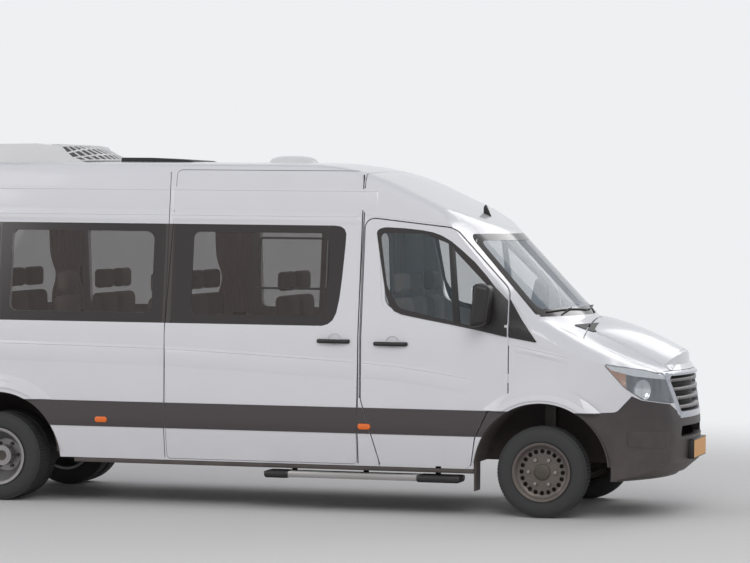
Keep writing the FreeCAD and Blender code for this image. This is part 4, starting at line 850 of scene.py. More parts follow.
@dataclass
class Bodywork:
    """Painted panels, floor, chassis and trim that keep their CAD form."""

    frame: Frame
    finishes: dict[str, Finish] = field(default_factory=lambda: {
        "side_panel_left": BANDED_ENAMEL, "side_panel_right": BANDED_ENAMEL, "sliding_door": BANDED_ENAMEL,
        "front_door_left": BANDED_ENAMEL, "front_door_right": BANDED_ENAMEL, "roof_panel": ENAMEL,
        "cab_frame": ENAMEL, "rear_frame": ENAMEL, "rear_door_left": ENAMEL, "rear_door_right": ENAMEL,
        "front_fenders": FENDER_ENAMEL, "hood": ENAMEL, "cowl": ENAMEL, "front_bumper": BUMPER_PLASTIC,
        "rear_bumper": BUMPER_PLASTIC, "grille": GRILLE_PLASTIC, "grille_surround": SILVER_PAINT,
        "tail_lamps": TAIL_ACRYLIC, "dashboard": CAB_TRIM, "steering_wheel": BLACK_ABS, "floor_pan": VINYL,
        "frame_rails": CHASSIS_STEEL, "front_suspension": CHASSIS_STEEL, "rear_axle": CHASSIS_STEEL,
        "wheel_arch_liners": BUMPER_PLASTIC, "seat_frames": CHASSIS_STEEL, "engine": CAST_IRON,
        "fuel_tank": BUMPER_PLASTIC, "exhaust": EXHAUST_STEEL, "knuckle_left": CAST_IRON,
        "knuckle_right": CAST_IRON, "front_rim_left": WHEEL_DARK, "front_rim_right": WHEEL_DARK,
        "rear_rims_left": WHEEL_SILVER, "rear_rims_right": WHEEL_SILVER, "number_plate": PLATE,
        "side_step": CHASSIS_STEEL, "roof_cooler": GELCOAT,
    })
    panels: tuple[str, ...] = (
        "side_panel_left", "side_panel_right", "sliding_door", "front_door_left", "front_door_right",
        "roof_panel", "cab_frame", "rear_frame", "rear_door_left", "rear_door_right", "front_fenders", "hood",
        "cowl", "front_bumper", "rear_bumper", "roof_cooler",
    )
    scallop_size: Point = (0.052, 0.022, 0.046)
    rise: float = 0.0085
    axles: Pair = (2.435, -1.890)
    hub_z: float = 0.345
    arch: tuple[Pair, Pair] = ((0.640, 134.6), (0.541, 122.6))
    arch_steps: int = 32
    flare: float = 0.024

    def build(self) -> None:
        """Dress all panels, then add scallops, creases and relief."""
        pieces = {node: self.frame.skinned(node, finish) for node, finish in self.finishes.items()}
        for side, label in SIDES:
            self.window_opening(pieces[f"front_door_{label}"], side, CAB_GLASS)
            self.scallop(pieces[f"front_door_{label}"], (1.285, 1.300), side)
        self.scallop(pieces["sliding_door"], (0.832, 1.312), -1)
        self.window_opening(pieces["sliding_door"], -1, SLIDE_GLASS)
        self.shorten_cooler(pieces["roof_cooler"])
        even = EvenShading(panels=[pieces[name] for name in self.panels])
        even.build()
        self.creases()
        self.relief()

    def window_opening(self, door: bpy.types.Object, side: int, outline: list[Pair]) -> None:
        """Open a door to the full outline of its glass."""
        carved(door, extruded("opening", outline, on_side(side), -0.20, 0.10))

    def shorten_cooler(self, cooler: bpy.types.Object) -> None:
        """Cut the cooler behind its rounded nose, which RoofKit makes."""
        carved(cooler, cuboid("nose_room", (-1.612, -0.70, 2.50), (-1.00, 0.70, 2.95), 0.0))

    def scallop(self, panel: bpy.types.Object, centre: Pair, side: int) -> None:
        """Press a finger scallop into a door behind its handle."""
        x, z = centre
        bpy.ops.mesh.primitive_uv_sphere_add(segments=40, ring_count=20, radius=1.0)
        tool = newest("scallop")
        tool.data.transform(Matrix.Translation((x, side * (side_y(z) + 0.004), z))
                            @ Matrix.Diagonal((*self.scallop_size, 1.0)))
        carved(panel, tool)

    def ledge(self, name: str, route: list[Pair], body: str, side: int, facet: float, fade: float) -> None:
        """Press a crease into the side: a fine overhang above a face that leans out.

        Args:
            name: Name of the piece.
            route: Points of the crease as (place, height).
            body: The body whose panel carries it.
            side: 1 left, -1 right.
            facet: Height of the face that looks up.
            fade: Height over which the swelling fades below it.
        """
        rings = []
        for i, (x, z) in enumerate(route):
            share = 0.0 if i in (0, len(route) - 1) else 1.0
            ring = ((0.028, -0.0008), (0.0045, 0.0004 + 0.0034 * share), (0.0, 0.0003),
                    (-facet, 0.0004 + self.rise * share), (-facet - fade, -0.0008), (-facet * 0.5, -0.006))
            rings.append([(x, side * (side_y(z + dz) + dy), z + dz) for dz, dy in ring])
        dress(lofted(name, rings, 25), ENAMEL, body)

    def creases(self) -> None:
        """Press the roof side creases, the belt crease and the fender creases."""
        for side, label in SIDES:
            for index, (height, front, facet, fade) in enumerate(((2.430, 1.13, 0.045, 0.110),
                                                                  (2.236, 1.00, 0.024, 0.036))):
                for part, (x0, x1) in enumerate(((-3.335, -0.534), (-0.520, front))):
                    route = [(x0, height), (x0 + 0.012, height), (x0 + 0.03, height), ((x0 + x1) / 2, height),
                             (x1 - 0.012, height), (x1, height)]
                    self.ledge(f"roof_crease_{index}{part}_{label}", route, "chassis", side, facet, fade)
            belt = [(-3.33, 1.238), (-3.31, 1.238), (-2.6, 1.234), (-1.872, 1.228), (-1.2, 1.220),
                    (-0.546, 1.210), (-0.534, 1.209)]
            self.ledge(f"belt_crease_{label}", belt, "chassis", side, 0.052, 0.085)
            belt = [(-0.520, 1.209), (-0.508, 1.208), (0.2, 1.178), (0.97, 1.138), (0.990, 1.137)]
            self.ledge(f"mid_crease_{label}", belt, "chassis", side, 0.052, 0.085)
            door = [(1.058, 1.132), (1.07, 1.131), (1.35, 1.108), (1.65, 1.068), (1.890, 1.030)]
            self.ledge(f"door_crease_{label}", door, f"front_door_{label}", side, 0.042, 0.075)
            fender = [(2.195, 1.293), (2.23, 1.287), (2.424, 1.248), (2.577, 1.216), (2.640, 1.203)]
            self.ledge(f"fender_crease_{label}", fender, "chassis", side, 0.020, 0.030)
            self.arch_lip(f"front_arch_lip_{label}", self.axles[0], side)
            self.arch_lip(f"rear_arch_lip_{label}", self.axles[1], side)
            self.seals(side, label)

    def arch_lip(self, name: str, axle_x: float, side: int) -> None:
        """Press the broad lip round the top of one wheel arch.

        Args:
            name: Name of the piece.
            axle_x: Place of the axle.
            side: 1 left, -1 right.
        """
        rings = []
        for i in range(self.arch_steps + 1):
            share = i / self.arch_steps
            ends = []
            for radius, start in self.arch:
                angle = math.radians(start + (180.0 - 2.0 * start) * share)
                ends.append(Vector((radius * math.cos(angle), radius * math.sin(angle))))
            ring = []
            section = ((0.0, 0.0002), (0.06, 0.0035), (1.0, self.flare), (1.0, -0.012), (0.0, -0.010))
            for across, depth in section:
                spot = ends[0].lerp(ends[1], across)
                z = self.hub_z + spot.y
                ring.append((axle_x + spot.x, side * (side_y(z) + depth), z))
            rings.append(ring)
        dress(lofted(name, rings, 30), ENAMEL, "chassis")

    def seals(self, side: int, label: str) -> None:
        """Lay the rubber seals in the side's shut lines and the dark strip under the sill."""
        lines = [(-0.5300, 0.0050, 0.372, 2.570)]
        if side < 0:
            lines.append((1.0105, 0.0085, 0.372, 2.560))
        strips = []
        for x, width, low, top in lines:
            rings = []
            for z in (low, 0.600, 1.330, top):
                y = side_y(z)
                rings.append([(a, side * (y + d), z) for a, d in
                              ((x, -0.008), (x, 0.0006), (x + width, 0.0006), (x + width, -0.008))])
            strips.append(lofted("seal", rings))
        dress(merged(f"door_seals_{label}", strips), SEAL, "chassis")
        y0, y1 = sorted((side * 0.895, side * 0.9405))
        sill = cuboid(f"sill_strip_{label}", (-1.270, y0, 0.319), (1.918, y1, 0.350), 0.003)
        dress(sill, BUMPER_PLASTIC, "chassis")

    def relief(self) -> None:
        """Raise the hood's middle panel and the bumper's side panels, and lay black inlets on the hood and
        cowl.
        """
        corners = [(2.740, -0.540), (3.330, -0.500), (3.330, 0.500), (2.740, 0.540)]
        dome = rounded([(a, b, 0.05) for a, b in corners])
        tool = extruded("dome", dome, from_above, 1.00, 1.70)
        patch = self.frame.overlay("hood", "hood_dome", tool, (0.0015, 0.0, 0.0060), 0.0040)
        dress(patch, ENAMEL, "hood")
        for side, label in SIDES:
            inlet = rounded([(a, side * b, 0.012) for a, b in
                             ((2.588, 0.585), (2.735, 0.330), (2.885, 0.335), (2.738, 0.552))])
            for node, body in (("cowl", "chassis"), ("hood", "hood")):
                tool = extruded("inlet", inlet, from_above, 1.25, 1.70)
                patch = self.frame.overlay(node, f"inlet_{node}_{label}", tool, (0.0008, 0.0, 0.0055))
                dress_patch(patch, BLACK_ABS, body)
            panel = rounded([(3.070, 0.545, 0.02), (3.060, 0.668, 0.03), (3.330, 0.650, 0.03),
                             (3.330, 0.528, 0.02)])
            low, high = sorted((side * 0.40, side * 1.0))
            tool = extruded("panel", panel, side_on, low, high)
            patch = self.frame.overlay("front_bumper", f"bumper_panel_{label}", tool,
                                       (0.0022, side * 0.0034, 0.0), 0.0015)
            dress(patch, BUMPER_PLASTIC, "chassis")


@dataclass
class Glazing:
    """Flush glass with its burnt-on black border and the slider in the door."""

    frame: Frame
    wall_low: float = 1.410
    wall_top: float = 2.172
    border: float = 0.075
    panes: tuple[Pair, ...] = ((-3.160, -1.990), (-1.812, -0.640), (-0.320, 0.768))
    vent: tuple[float, float, float, float] = (0.205, 0.762, 1.682, 2.080)
    vent_bar: float = 0.016

    def split(self, node: str, cutters: list[bpy.types.Object], glass: Finish) -> None:
        """Replace a glass node by its clear pane and its black border.

        Args:
            node: The CAD node.
            cutters: Prisms through the clear part.
            glass: Finish of the clear part.
        """
        tool = merged(f"{node}_tool", cutters)
        body = self.frame.body_of[node]
        for operation, label, finish in (("INTERSECT", "pane", glass), ("DIFFERENCE", "border", FRIT)):
            piece = self.frame.copied(node, f"{node}_{label}")
            modify(piece, "BOOLEAN", object=tool, operation=operation, solver="EXACT")
            shade(piece, 25)
            dress(piece, finish, body, (node,))
        bpy.data.objects.remove(tool)

    def side_outline(self, row: int) -> list[Pair]:
        """Return the clear part of one side window."""
        rear, front = self.panes[row]
        low = self.wall_low + self.border
        top = self.wall_top - 0.8 * self.border
        return rounded([(rear, low, 0.05), (rear, top, 0.05), (front, top, 0.07), (front, low, 0.07)])

    def build(self) -> None:
        """Glaze the sides, the cab doors, the rear doors and the screen."""
        sides = []
        for side in (-1, 1):
            for row in range(len(self.panes)):
                low, high = sorted((side * 0.70, side * 1.20))
                sides.append(extruded("pane", self.side_outline(row), side_on, low, high))
        self.split("side_windows", sides, TINTED_GLASS)
        nose = [(0.700, 1.4101), (0.700, 2.1719)] + SLIDE_GLASS[2:]
        glass = extruded("door_glass_front", nose, on_side(-1), -0.0060, -0.0004)
        dress(shade(glass, 25), FRIT, "chassis", ("side_windows",))
        for side, label in SIDES:
            self.cab_glass(label, side)
            rear = rounded([(side * a, b, r) for a, b, r in (
                (0.690, 1.478, 0.05), (0.618, 2.122, 0.05), (0.108, 2.122, 0.05), (0.108, 1.478, 0.05))])
            pane = extruded("pane", rear, head_on, -3.7, -3.2)
            self.split(f"rear_door_glass_{label}", [pane], TINTED_GLASS)
        screen = rounded([(-0.742, 2.070, 0.05), (0.742, 2.070, 0.05), (0.790, 1.563, 0.04),
                          (-0.790, 1.563, 0.04)])
        # The clear part of the screen carries the painted sky reflection in its colour
        self.split("windscreen", [extruded("pane", screen, head_on, 1.4, 3.0)], WINDSCREEN_WITH_PAINTED_SKY)
        self.slider()
        self.quarter_bars()

    def cab_glass(self, label: str, side: int) -> None:
        """Glaze one cab door to the outline of its opening."""
        body = f"front_door_{label}"
        clear = rounded([
            (1.160, 2.122, 0.04), (1.500, 2.118, 0.10), (1.690, 2.048, 0.06), (2.052, 1.690, 0.03),
            (2.052, 1.412, 0.02), (1.880, 1.436, 0.02), (1.330, 1.552, 0.09), (1.226, 1.720, 0.20),
        ])
        for operation, part, finish in (("INTERSECT", "pane", SCREEN_GLASS), ("DIFFERENCE", "border", FRIT)):
            plate = extruded(f"cab_glass_{part}_{label}", CAB_GLASS, on_side(side), -0.0065, -0.0015)
            carved(plate, extruded("clear", clear, on_side(side), -0.05, 0.05), operation)
            dress(shade(plate, 25), finish, body, (f"front_door_glass_{label}",))

    def slider(self) -> None:
        """Add the frame and the latch of the door's sliding ventilation pane."""
        rear, front, low, top = self.vent
        outer = rounded([(rear, low, 0.03), (rear, top, 0.03), (front, top, 0.03), (front, low, 0.03)])
        w = self.vent_bar
        inner = rounded([(rear + w, low + w, 0.018), (rear + w, top - w, 0.018), (front - w, top - w, 0.018),
                         (front - w, low + w, 0.018)])
        frame = extruded("slider_frame", outer, on_side(-1), -0.012, 0.0025)
        carved(frame, extruded("hole", inner, on_side(-1), -0.062, 0.0525))
        dress(shade(bevelled(frame, 0.0015)), FRIT, "chassis")
        corners = [(0.716, 1.830), (0.716, 1.882), (0.748, 1.882), (0.748, 1.830)]
        outline = rounded([(a, b, 0.006) for a, b in corners])
        latch = extruded("slider_latch", outline, on_side(-1), -0.014, -0.0004)
        dress(latch, BLACK_ABS, "chassis")

    def quarter_bars(self) -> None:
        """Add the upright bar behind the quarter light of each cab door."""
        for side, label in SIDES:
            outline = [(1.694, 2.052), (1.742, 2.010), (1.806, 1.446), (1.752, 1.456)]
            bar = extruded(f"quarter_bar_{label}", outline, on_side(side), -0.020, 0.0015, 0.001)
            dress(bar, BLACK_ABS, f"front_door_{label}")


@dataclass
class Wheels:
    """Tyres with tread, and the fittings and vent holes of all wheels."""

    front_x: float = 2.435
    rear_x: float = -1.890
    hub_z: float = 0.345
    front_y: float = 0.855
    outer_y: float = 0.885
    inner_y: float = 0.660
    nut_radius: float = 0.0145
    nut_out: float = 0.009
    vents: Pair = (0.157, 0.0172)
    vent_count: int = 20
    tread_steps: int = 84
    tread_depth: float = 0.0075

    def tyre_profile(self) -> list[Pair]:
        """Return half sidewall, tread base with four grooves, half sidewall."""
        wall = [(0.083, 0.2122), (0.0925, 0.224), (0.0965, 0.245), (0.0974, 0.270), (0.0962, 0.292),
                (0.0915, 0.312), (0.0835, 0.326)]
        tread = [0.073, 0.045, 0.041, 0.016, 0.012]
        ribs = [(a, 0.3376 - 0.45 * a * a) for a in tread]
        half = wall + ribs
        return half + [(-a, r) for a, r in reversed(half)]

    def tyre(self, name: str, x: float, y: float, side: int) -> bpy.types.Object:
        """Make one tyre.

        Args:
            name: Name of the piece.
            x: Place of the axle.
            y: Centre plane from the middle.
            side: 1 left, -1 right.
        """
        centre = (x, side * y, self.hub_z)
        ring = spun(name, self.tyre_profile(), centre, side, self.tread_steps)
        focus(ring)
        bpy.ops.object.mode_set(mode="EDIT")
        bpy.ops.mesh.select_all(action="DESELECT")
        bpy.ops.mesh.select_mode(type="FACE")
        bpy.ops.object.mode_set(mode="OBJECT")

        for face in ring.data.polygons:
            reach = math.hypot(face.center.x - x, face.center.z - self.hub_z)
            width = abs(face.center.y - centre[1])
            rib = width < 0.010 or 0.020 < width < 0.038 or 0.050 < width < 0.070
            face.select = reach > 0.331 and rib
        bpy.ops.object.mode_set(mode="EDIT")
        bpy.ops.mesh.inset(thickness=0.0022, depth=self.tread_depth, use_individual=True)
        bpy.ops.object.mode_set(mode="OBJECT")
        return shade(ring, 35)

    def nut(self, centre: Vector, side: int, radius: float) -> bpy.types.Object:
        """Make one chamfered wheel nut that faces outwards."""
        bpy.ops.mesh.primitive_cylinder_add(vertices=6, radius=radius, depth=0.022, location=centre,
                                            rotation=(math.radians(-90 * side), 0, 0))
        nut = settle(newest("nut"))
        return bevelled(nut, 0.0022, angle=50)

    def fittings(self, name: str, x: float, face_y: float, ring: float, count: int, cap: Pair, side: int,
                 body: str, metal: Finish) -> None:
        """Add a ring of nuts and a hub cap on one wheel.

        Args:
            name: Name of the piece.
            x: Place of the axle.
            face_y: Wheel disc's outer face from the middle.
            ring: Radius of the nuts' circle.
            count: Number of nuts.
            cap: Radius and height of the hub cap.
            side: 1 left, -1 right.
            body: The wheel's body.
            metal: Finish of the nuts.
        """
        parts = []
        for i in range(count):
            angle = math.tau * i / count
            across, up = ring * math.cos(angle), ring * math.sin(angle)
            spot = Vector((x + across, side * (face_y + self.nut_out), self.hub_z + up))
            parts.append(self.nut(spot, side, self.nut_radius))
        radius, rise = cap
        profile = [(0.0, 0.0), (0.0, radius), (rise * 0.45, radius), (rise * 0.8, radius * 0.9),
                   (rise, radius * 0.7), (rise * 1.02, 0.0)]
        dome = spun("cap", profile, (x, side * face_y, self.hub_z), side, 40)
        dress(merged(name, parts), metal, body)
        dress(merged(f"{name}_cap", [dome]), CHASSIS_STEEL, body)

    def holes(self, label: str, side: int) -> None:
        """Widen the vent holes of a front wheel disc to rounds."""
        rim = bpy.data.objects[f"front_rim_{label}_dressed"]
        rounds = []
        ring, radius = self.vents
        for i in range(self.vent_count):
            angle = math.tau * i / self.vent_count
            spot = (self.front_x + ring * math.cos(angle), side * 0.90, self.hub_z + ring * math.sin(angle))
            bpy.ops.mesh.primitive_cylinder_add(vertices=20, radius=radius, depth=0.12, location=spot,
                                                rotation=(math.radians(90), 0, 0))
            rounds.append(settle(newest("round")))
        shade(carved(rim, merged("rounds", rounds)), 28)

    def build(self) -> None:
        """Make the six tyres, with dark dust shields that also stand for the shade behind the front vents,
        nuts, caps and rings.
        """
        for side, label in SIDES:
            front = self.tyre(f"front_tyre_tread_{label}", self.front_x, self.front_y, side)
            dress(front, TYRE_RUBBER, f"front_wheel_{label}", (f"front_tyre_{label}",))
            pair = [self.tyre("rear_tyre", self.rear_x, y, side) for y in (self.outer_y, self.inner_y)]
            rear = merged(f"rear_tyre_treads_{label}", pair)
            dress(rear, TYRE_RUBBER, f"rear_wheels_{label}", (f"rear_tyres_{label}",))
            self.holes(label, side)
            # A dark steel dust shield just behind the front disc: a real part, placed so that the vent holes
            # show dark, as a stand-in for the shade inside the wheel
            profile = [(0.0, 0.122), (0.0, 0.190), (0.003, 0.190), (0.003, 0.122)]
            shield = spun(f"dust_shield_vent_shade_{label}", profile, (self.front_x, side * 0.8475, self.hub_z), side, 48)
            dress(shade(shield, 30), CHASSIS_STEEL, f"knuckle_{label}")
            self.fittings(f"front_nuts_{label}", self.front_x, 0.917, 0.1025, 6, (0.062, 0.018), side,
                          f"front_wheel_{label}", ZINC)
            self.fittings(f"rear_nuts_{label}", self.rear_x, 0.7885, 0.1000, 6, (0.072, 0.105), side,
                          f"rear_wheels_{label}", CHASSIS_STEEL)
            profile = [(0.0, 0.074), (0.0, 0.127), (0.004, 0.126), (0.004, 0.075)]
            ring = spun(f"rear_disc_ring_{label}", profile, (self.rear_x, side * 0.7845, self.hub_z), side, 48)
            dress(shade(ring, 30), WHEEL_SILVER, f"rear_wheels_{label}")


@dataclass
class DoorFurniture:
    """Mirrors with their sails, door handles and side markers."""

    frame: Frame
    case_low: Point = (1.946, 1.012, 1.424)
    case_high: Point = (2.072, 1.209, 1.762)
    grip: float = 0.0175

    def case(self, side: int) -> bpy.types.Object:
        """Mould a mirror case that narrows to the front, with a round edge."""
        low, high = self.case_low, self.case_high
        y0, y1 = sorted((side * low[1], side * high[1]))
        case = cuboid("case", (low[0], y0, low[2]), (high[0], y1, high[2]), 0.0)
        middle = ((y0 + y1) / 2, (low[2] + high[2]) / 2)
        for vertex in case.data.vertices:
            vertex.co.x -= 0.10 * (high[2] - vertex.co.z) - 0.012
            if vertex.co.x > (low[0] + high[0]) / 2:
                vertex.co.y = middle[0] + (vertex.co.y - middle[0]) * 0.80
                vertex.co.z = middle[1] + (vertex.co.z - middle[1]) * 0.84
        return shade(bevelled(case, 0.034, 6, 30), 50)

    def handle(self, name: str, rear: float, front: float, height: float, side: int) -> bpy.types.Object:
        """Mould one pull handle with rounded ends.

        Args:
            name: Name of the piece.
            rear: Its rear end.
            front: Its front end.
            height: Height of its middle.
            side: 1 left, -1 right.
        """
        wall = side_y(height)
        route = [(0.0, -0.006), (0.010, 0.010), (0.034, 0.022), (0.09, 0.026)]
        ends = [(rear + a, b) for a, b in route] + [(front - a, b) for a, b in reversed(route)]
        bar = tube(name, [(x, side * (wall + d), height) for x, d in ends], self.grip)
        modify(bar, "SUBSURF", levels=1, render_levels=1)
        return shade(bar, 60)

    def build(self) -> None:
        """Add mirrors, sails, handles and markers on both sides."""
        for side, label in SIDES:
            body = f"front_door_{label}"
            outline = [(1.890, 1.412), (2.170, 1.353), (2.170, 1.626), (2.044, 1.748), (1.965, 1.735)]
            sail = extruded("sail", outline, on_side(side), -0.014, 0.0125, 0.003)
            y0, y1 = sorted((side * 0.950, side * 1.030))
            arm = cuboid("arm", (1.985, y0, 1.470), (2.050, y1, 1.560), 0.018, 4)
            grip = self.handle("grip", 1.144, 1.398, 1.284, side)
            mirror = merged(f"mirror_and_handle_{label}", [self.case(side), sail, arm, grip])
            dress(mirror, BLACK_ABS, body, (f"front_door_fittings_{label}",))
            outline = rounded([(side * a, b, 0.03) for a, b in
                               ((1.034, 1.448), (1.034, 1.738), (1.188, 1.738), (1.188, 1.448))])
            glass = extruded(f"mirror_glass_{label}", outline, head_on, 1.9445, 1.949, 0.001)
            dress(glass, MIRROR_GLASS, body)
            for node in ("front_fenders", "cab_frame"):
                outline = [(2.1835, 1.351), (2.1835, 1.640), (2.281, 1.480), (2.396, 1.322), (2.386, 1.317)]
                low, high = sorted((side * 0.80, side * 1.06))
                tool = extruded("tip", outline, side_on, low, high)
                tip = self.frame.overlay(node, f"sail_tip_{node}_{label}", tool, (0.001, side * 0.006, 0.001))
                dress_patch(tip, BLACK_ABS, "chassis")
            for index, x in enumerate((-1.0355, 1.0705)):
                outline = rounded([(x + a, b, 0.021) for a, b in
                                   ((-0.050, 0.633), (-0.050, 0.677), (0.050, 0.677), (0.050, 0.633))])
                lens = extruded(f"side_marker_{index}_{label}", outline,
                                lambda a, b, d, t=side: (a, t * (0.989 + d), b), 0.0, 0.0105, 0.0035)
                dress(lens, AMBER, "chassis")
        slide = self.handle("sliding_handle", 0.700, 0.946, 1.296, -1)
        dress(slide, BLACK_ABS, "chassis", ("sliding_door_handle",))


@dataclass
class Lamps:
    """Headlamps: a clear cover over a deep housing with its reflectors."""

    frame: Frame
    bowl_turn: float = 42.0

    def shrunk(self, name: str, depth: float) -> bpy.types.Object:
        """Copy the headlamps' form, moved inwards from all sides."""
        piece = self.frame.copied("headlamps", name)
        with edited(piece):
            bpy.ops.transform.shrink_fatten(value=-depth)
        return shade(piece, 30)

    def bowl(self, housing: bpy.types.Object, centre: Point, size: Point) -> None:
        """Sink one reflector bowl into the housings on both sides.

        Args:
            housing: The lamp housings.
            centre: Middle of the bowl on the left side.
            size: Half lengths of the bowl.
        """
        for side in (1, -1):
            bpy.ops.mesh.primitive_uv_sphere_add(segments=32, ring_count=16, radius=1.0)
            tool = newest("bowl")
            tool.data.materials.append(REFLECTOR.build())
            place = Matrix.Translation((centre[0], side * centre[1], centre[2]))
            turn = Matrix.Rotation(math.radians(-side * self.bowl_turn), 4, "Z")
            tool.data.transform(place @ turn @ Matrix.Diagonal((*size, 1.0)))
            carved(housing, tool, material_mode="TRANSFER")

    def brows(self) -> None:
        """Lay the pale reflecting strip under the upper edge of both covers."""
        piece = self.shrunk("headlamp_brows", 0.0045)
        outline = [(2.880, 1.180), (3.110, 1.140), (3.292, 1.100), (3.425, 1.088), (3.420, 1.040),
                   (3.290, 1.046), (3.100, 1.074), (2.950, 1.118)]
        carved(piece, extruded("brow", outline, side_on, -1.10, 1.10), "INTERSECT")
        dress(shade(piece, 30), REFLECTOR, "chassis")

    def build(self) -> None:
        """Replace the headlamps by covers, housings and reflectors."""
        cover = self.frame.copied("headlamps", "headlamp_covers")
        dress(shade(cover, 30), LAMP_COVER, "chassis", ("headlamps",))
        housing = dress(self.shrunk("headlamp_housings", 0.007), HOUSING, "chassis")
        self.bowl(housing, (3.172, 0.782, 0.968), (0.080, 0.050, 0.086))
        self.bowl(housing, (3.325, 0.632, 0.895), (0.030, 0.026, 0.026))
        self.brows()
        shade(housing, 40)


@dataclass
class Cabin:
    """Padded seats and gathered curtains seen through the glass."""

    pitch: float = 0.770
    first_row: float = -2.980
    seat_width: float = 0.424
    underside: float = 1.010
    voxel: float = 0.008
    kept_faces: float = 0.14
    wall: float = 0.072

    def puffed(self, obj: bpy.types.Object, cap: float) -> bpy.types.Object:
        """Swell a closed form like foam under cloth, by simulation.

        Args:
            obj: The form, a little smaller than the finished pad.
            cap: The furthest that a point may move.

        Returns:
            The same object with the result applied.
        """
        modify(obj, "REMESH", mode="VOXEL", voxel_size=self.voxel)
        start = [v.co.copy() for v in obj.data.vertices]
        focus(obj)
        cloth = obj.modifiers.new("Cloth", "CLOTH")
        cloth.settings.use_pressure = True
        cloth.settings.uniform_pressure_force = 4.0
        cloth.settings.effector_weights.gravity = 0.0
        for number in range(1, 21):
            bpy.context.scene.frame_set(number)
        shape = obj.evaluated_get(bpy.context.evaluated_depsgraph_get()).data
        ends = [v.co.copy() for v in shape.vertices]
        obj.modifiers.remove(cloth)
        bpy.context.scene.frame_set(1)
        for vertex, a, b in zip(obj.data.vertices, start, ends):
            step = b - a
            if step.length > cap:
                step *= cap / step.length
            vertex.co = a + step
        modify(obj, "SMOOTH", factor=0.5, iterations=4)
        return obj

    def seams(self, obj: bpy.types.Object, lines: tuple[float, ...], depth: float) -> None:
        """Press sewn channels that run along the pad into it."""
        middle = sum((v.co for v in obj.data.vertices), Vector()) / len(obj.data.vertices)
        normals = [v.normal.copy() for v in obj.data.vertices]
        for vertex, normal in zip(obj.data.vertices, normals):
            pull = sum(math.exp(-(((vertex.co.y - middle.y) - line) / 0.006) ** 2) for line in lines)
            vertex.co -= normal * depth * min(pull, 1.0)

    def seat(self) -> bpy.types.Object:
        """Make one seat at the origin: cushion, back and head part."""
        half = self.seat_width / 2 - 0.010
        cushion = cuboid("cushion", (0.10, -half, 0.014), (0.470, half, 0.106), 0.035, 4)
        self.seams(self.puffed(cushion, 0.012), (-0.12, 0.12), 0.005)
        back = cuboid("back", (-0.045, -half, 0.06), (0.045, half, 0.60), 0.035, 4)
        for vertex in back.data.vertices:
            vertex.co.x += 0.045 * (0.6 - vertex.co.z)
        self.seams(self.puffed(back, 0.012), (-0.12, 0.12), 0.005)
        head = cuboid("head", (-0.045, -half * 0.72, 0.625), (0.035, half * 0.72, 0.780), 0.03, 4)
        self.puffed(head, 0.010)
        model = merged("seat_model", [cushion, back, head])
        modify(model, "DECIMATE", ratio=self.kept_faces)
        return shade(model, 60)

    def build(self) -> None:
        """Place the seats row by row and hang the curtains."""
        model = self.seat()
        rows: dict[str, list[tuple[float, float, float, float]]] = {}
        for i in range(5):
            x = self.first_row + i * self.pitch
            edges = [0.434, 0.006]
            if i < 4:
                edges.append(-0.858)
            if i == 0:
                edges.append(-0.430)
            rows[f"seat_row_{i}"] = [(x, y + self.seat_width / 2, self.underside, 1.0) for y in edges]
        cab = ((0.450, 1.10), (-0.540, 1.03), (-0.115, 0.93))
        rows["cab_seats"] = [(1.240, y, 1.030, wide) for y, wide in cab]
        for name, places in rows.items():
            copies = []
            for x, y, z, wide in places:
                copy = model.copy()
                copy.data = model.data.copy()
                bpy.context.collection.objects.link(copy)
                copy.data.transform(Matrix.Translation((x, y, z)) @ Matrix.Diagonal((1.0, wide, 1.0, 1.0)))
                copies.append(copy)
            piece = merged(name, copies)
            dress(piece, SEAT_CLOTH, "chassis", ("seats",))
        bpy.data.objects.remove(model)
        self.curtains()

    def curtain(self, name: str, x0: float, x1: float, side: int, folds: int, depth: float) -> None:
        """Hang one gathered curtain against the wall beside a window.

        Args:
            name: Name of the piece.
            x0: Rear edge.
            x1: Front edge.
            side: 1 left, -1 right.
            folds: Number of folds.
            depth: Height of the folds.
        """
        top, low, across, down = 2.205, 1.432, folds * 12, 18
        bpy.ops.mesh.primitive_grid_add(x_subdivisions=across, y_subdivisions=down, size=1.0)
        obj = newest(name)
        for vertex in obj.data.vertices:
            t, fall = vertex.co.x + 0.5, 0.5 - vertex.co.y
            z = top + (low - top) * fall
            waist = 1.0 - 0.30 * math.exp(-((z - 1.72) / 0.11) ** 2)
            wall = side_y(z) - self.wall
            x = (x0 + x1) / 2 + (x1 - x0) * (t - 0.5) * waist
            y = wall - depth * (1.0 - math.cos(math.tau * folds * t)) * (0.6 + 0.4 * fall)
            vertex.co = (x, side * y, z)
        outward(obj)
        modify(obj, "SOLIDIFY", thickness=0.0008)
        shade(obj, 60)
        dress(obj, CURTAIN_CLOTH, "chassis")

    def curtains(self) -> None:
        """Hang the curtains at the window pillars of both sides."""
        places = {
            "left": ((-3.19, -3.07), (-2.15, -1.85), (-0.700, -0.40), (0.780, 0.900)),
            "right": ((-3.19, -3.07), (-1.985, -1.86), (-0.590, -0.50), (0.800, 0.900)),
        }
        for side, label in SIDES:
            for index, (x0, x1) in enumerate(places[label]):
                self.curtain(f"curtain_{index}_{label}", x0, x1, side, 4 if x1 - x0 < 0.2 else 8, 0.008)


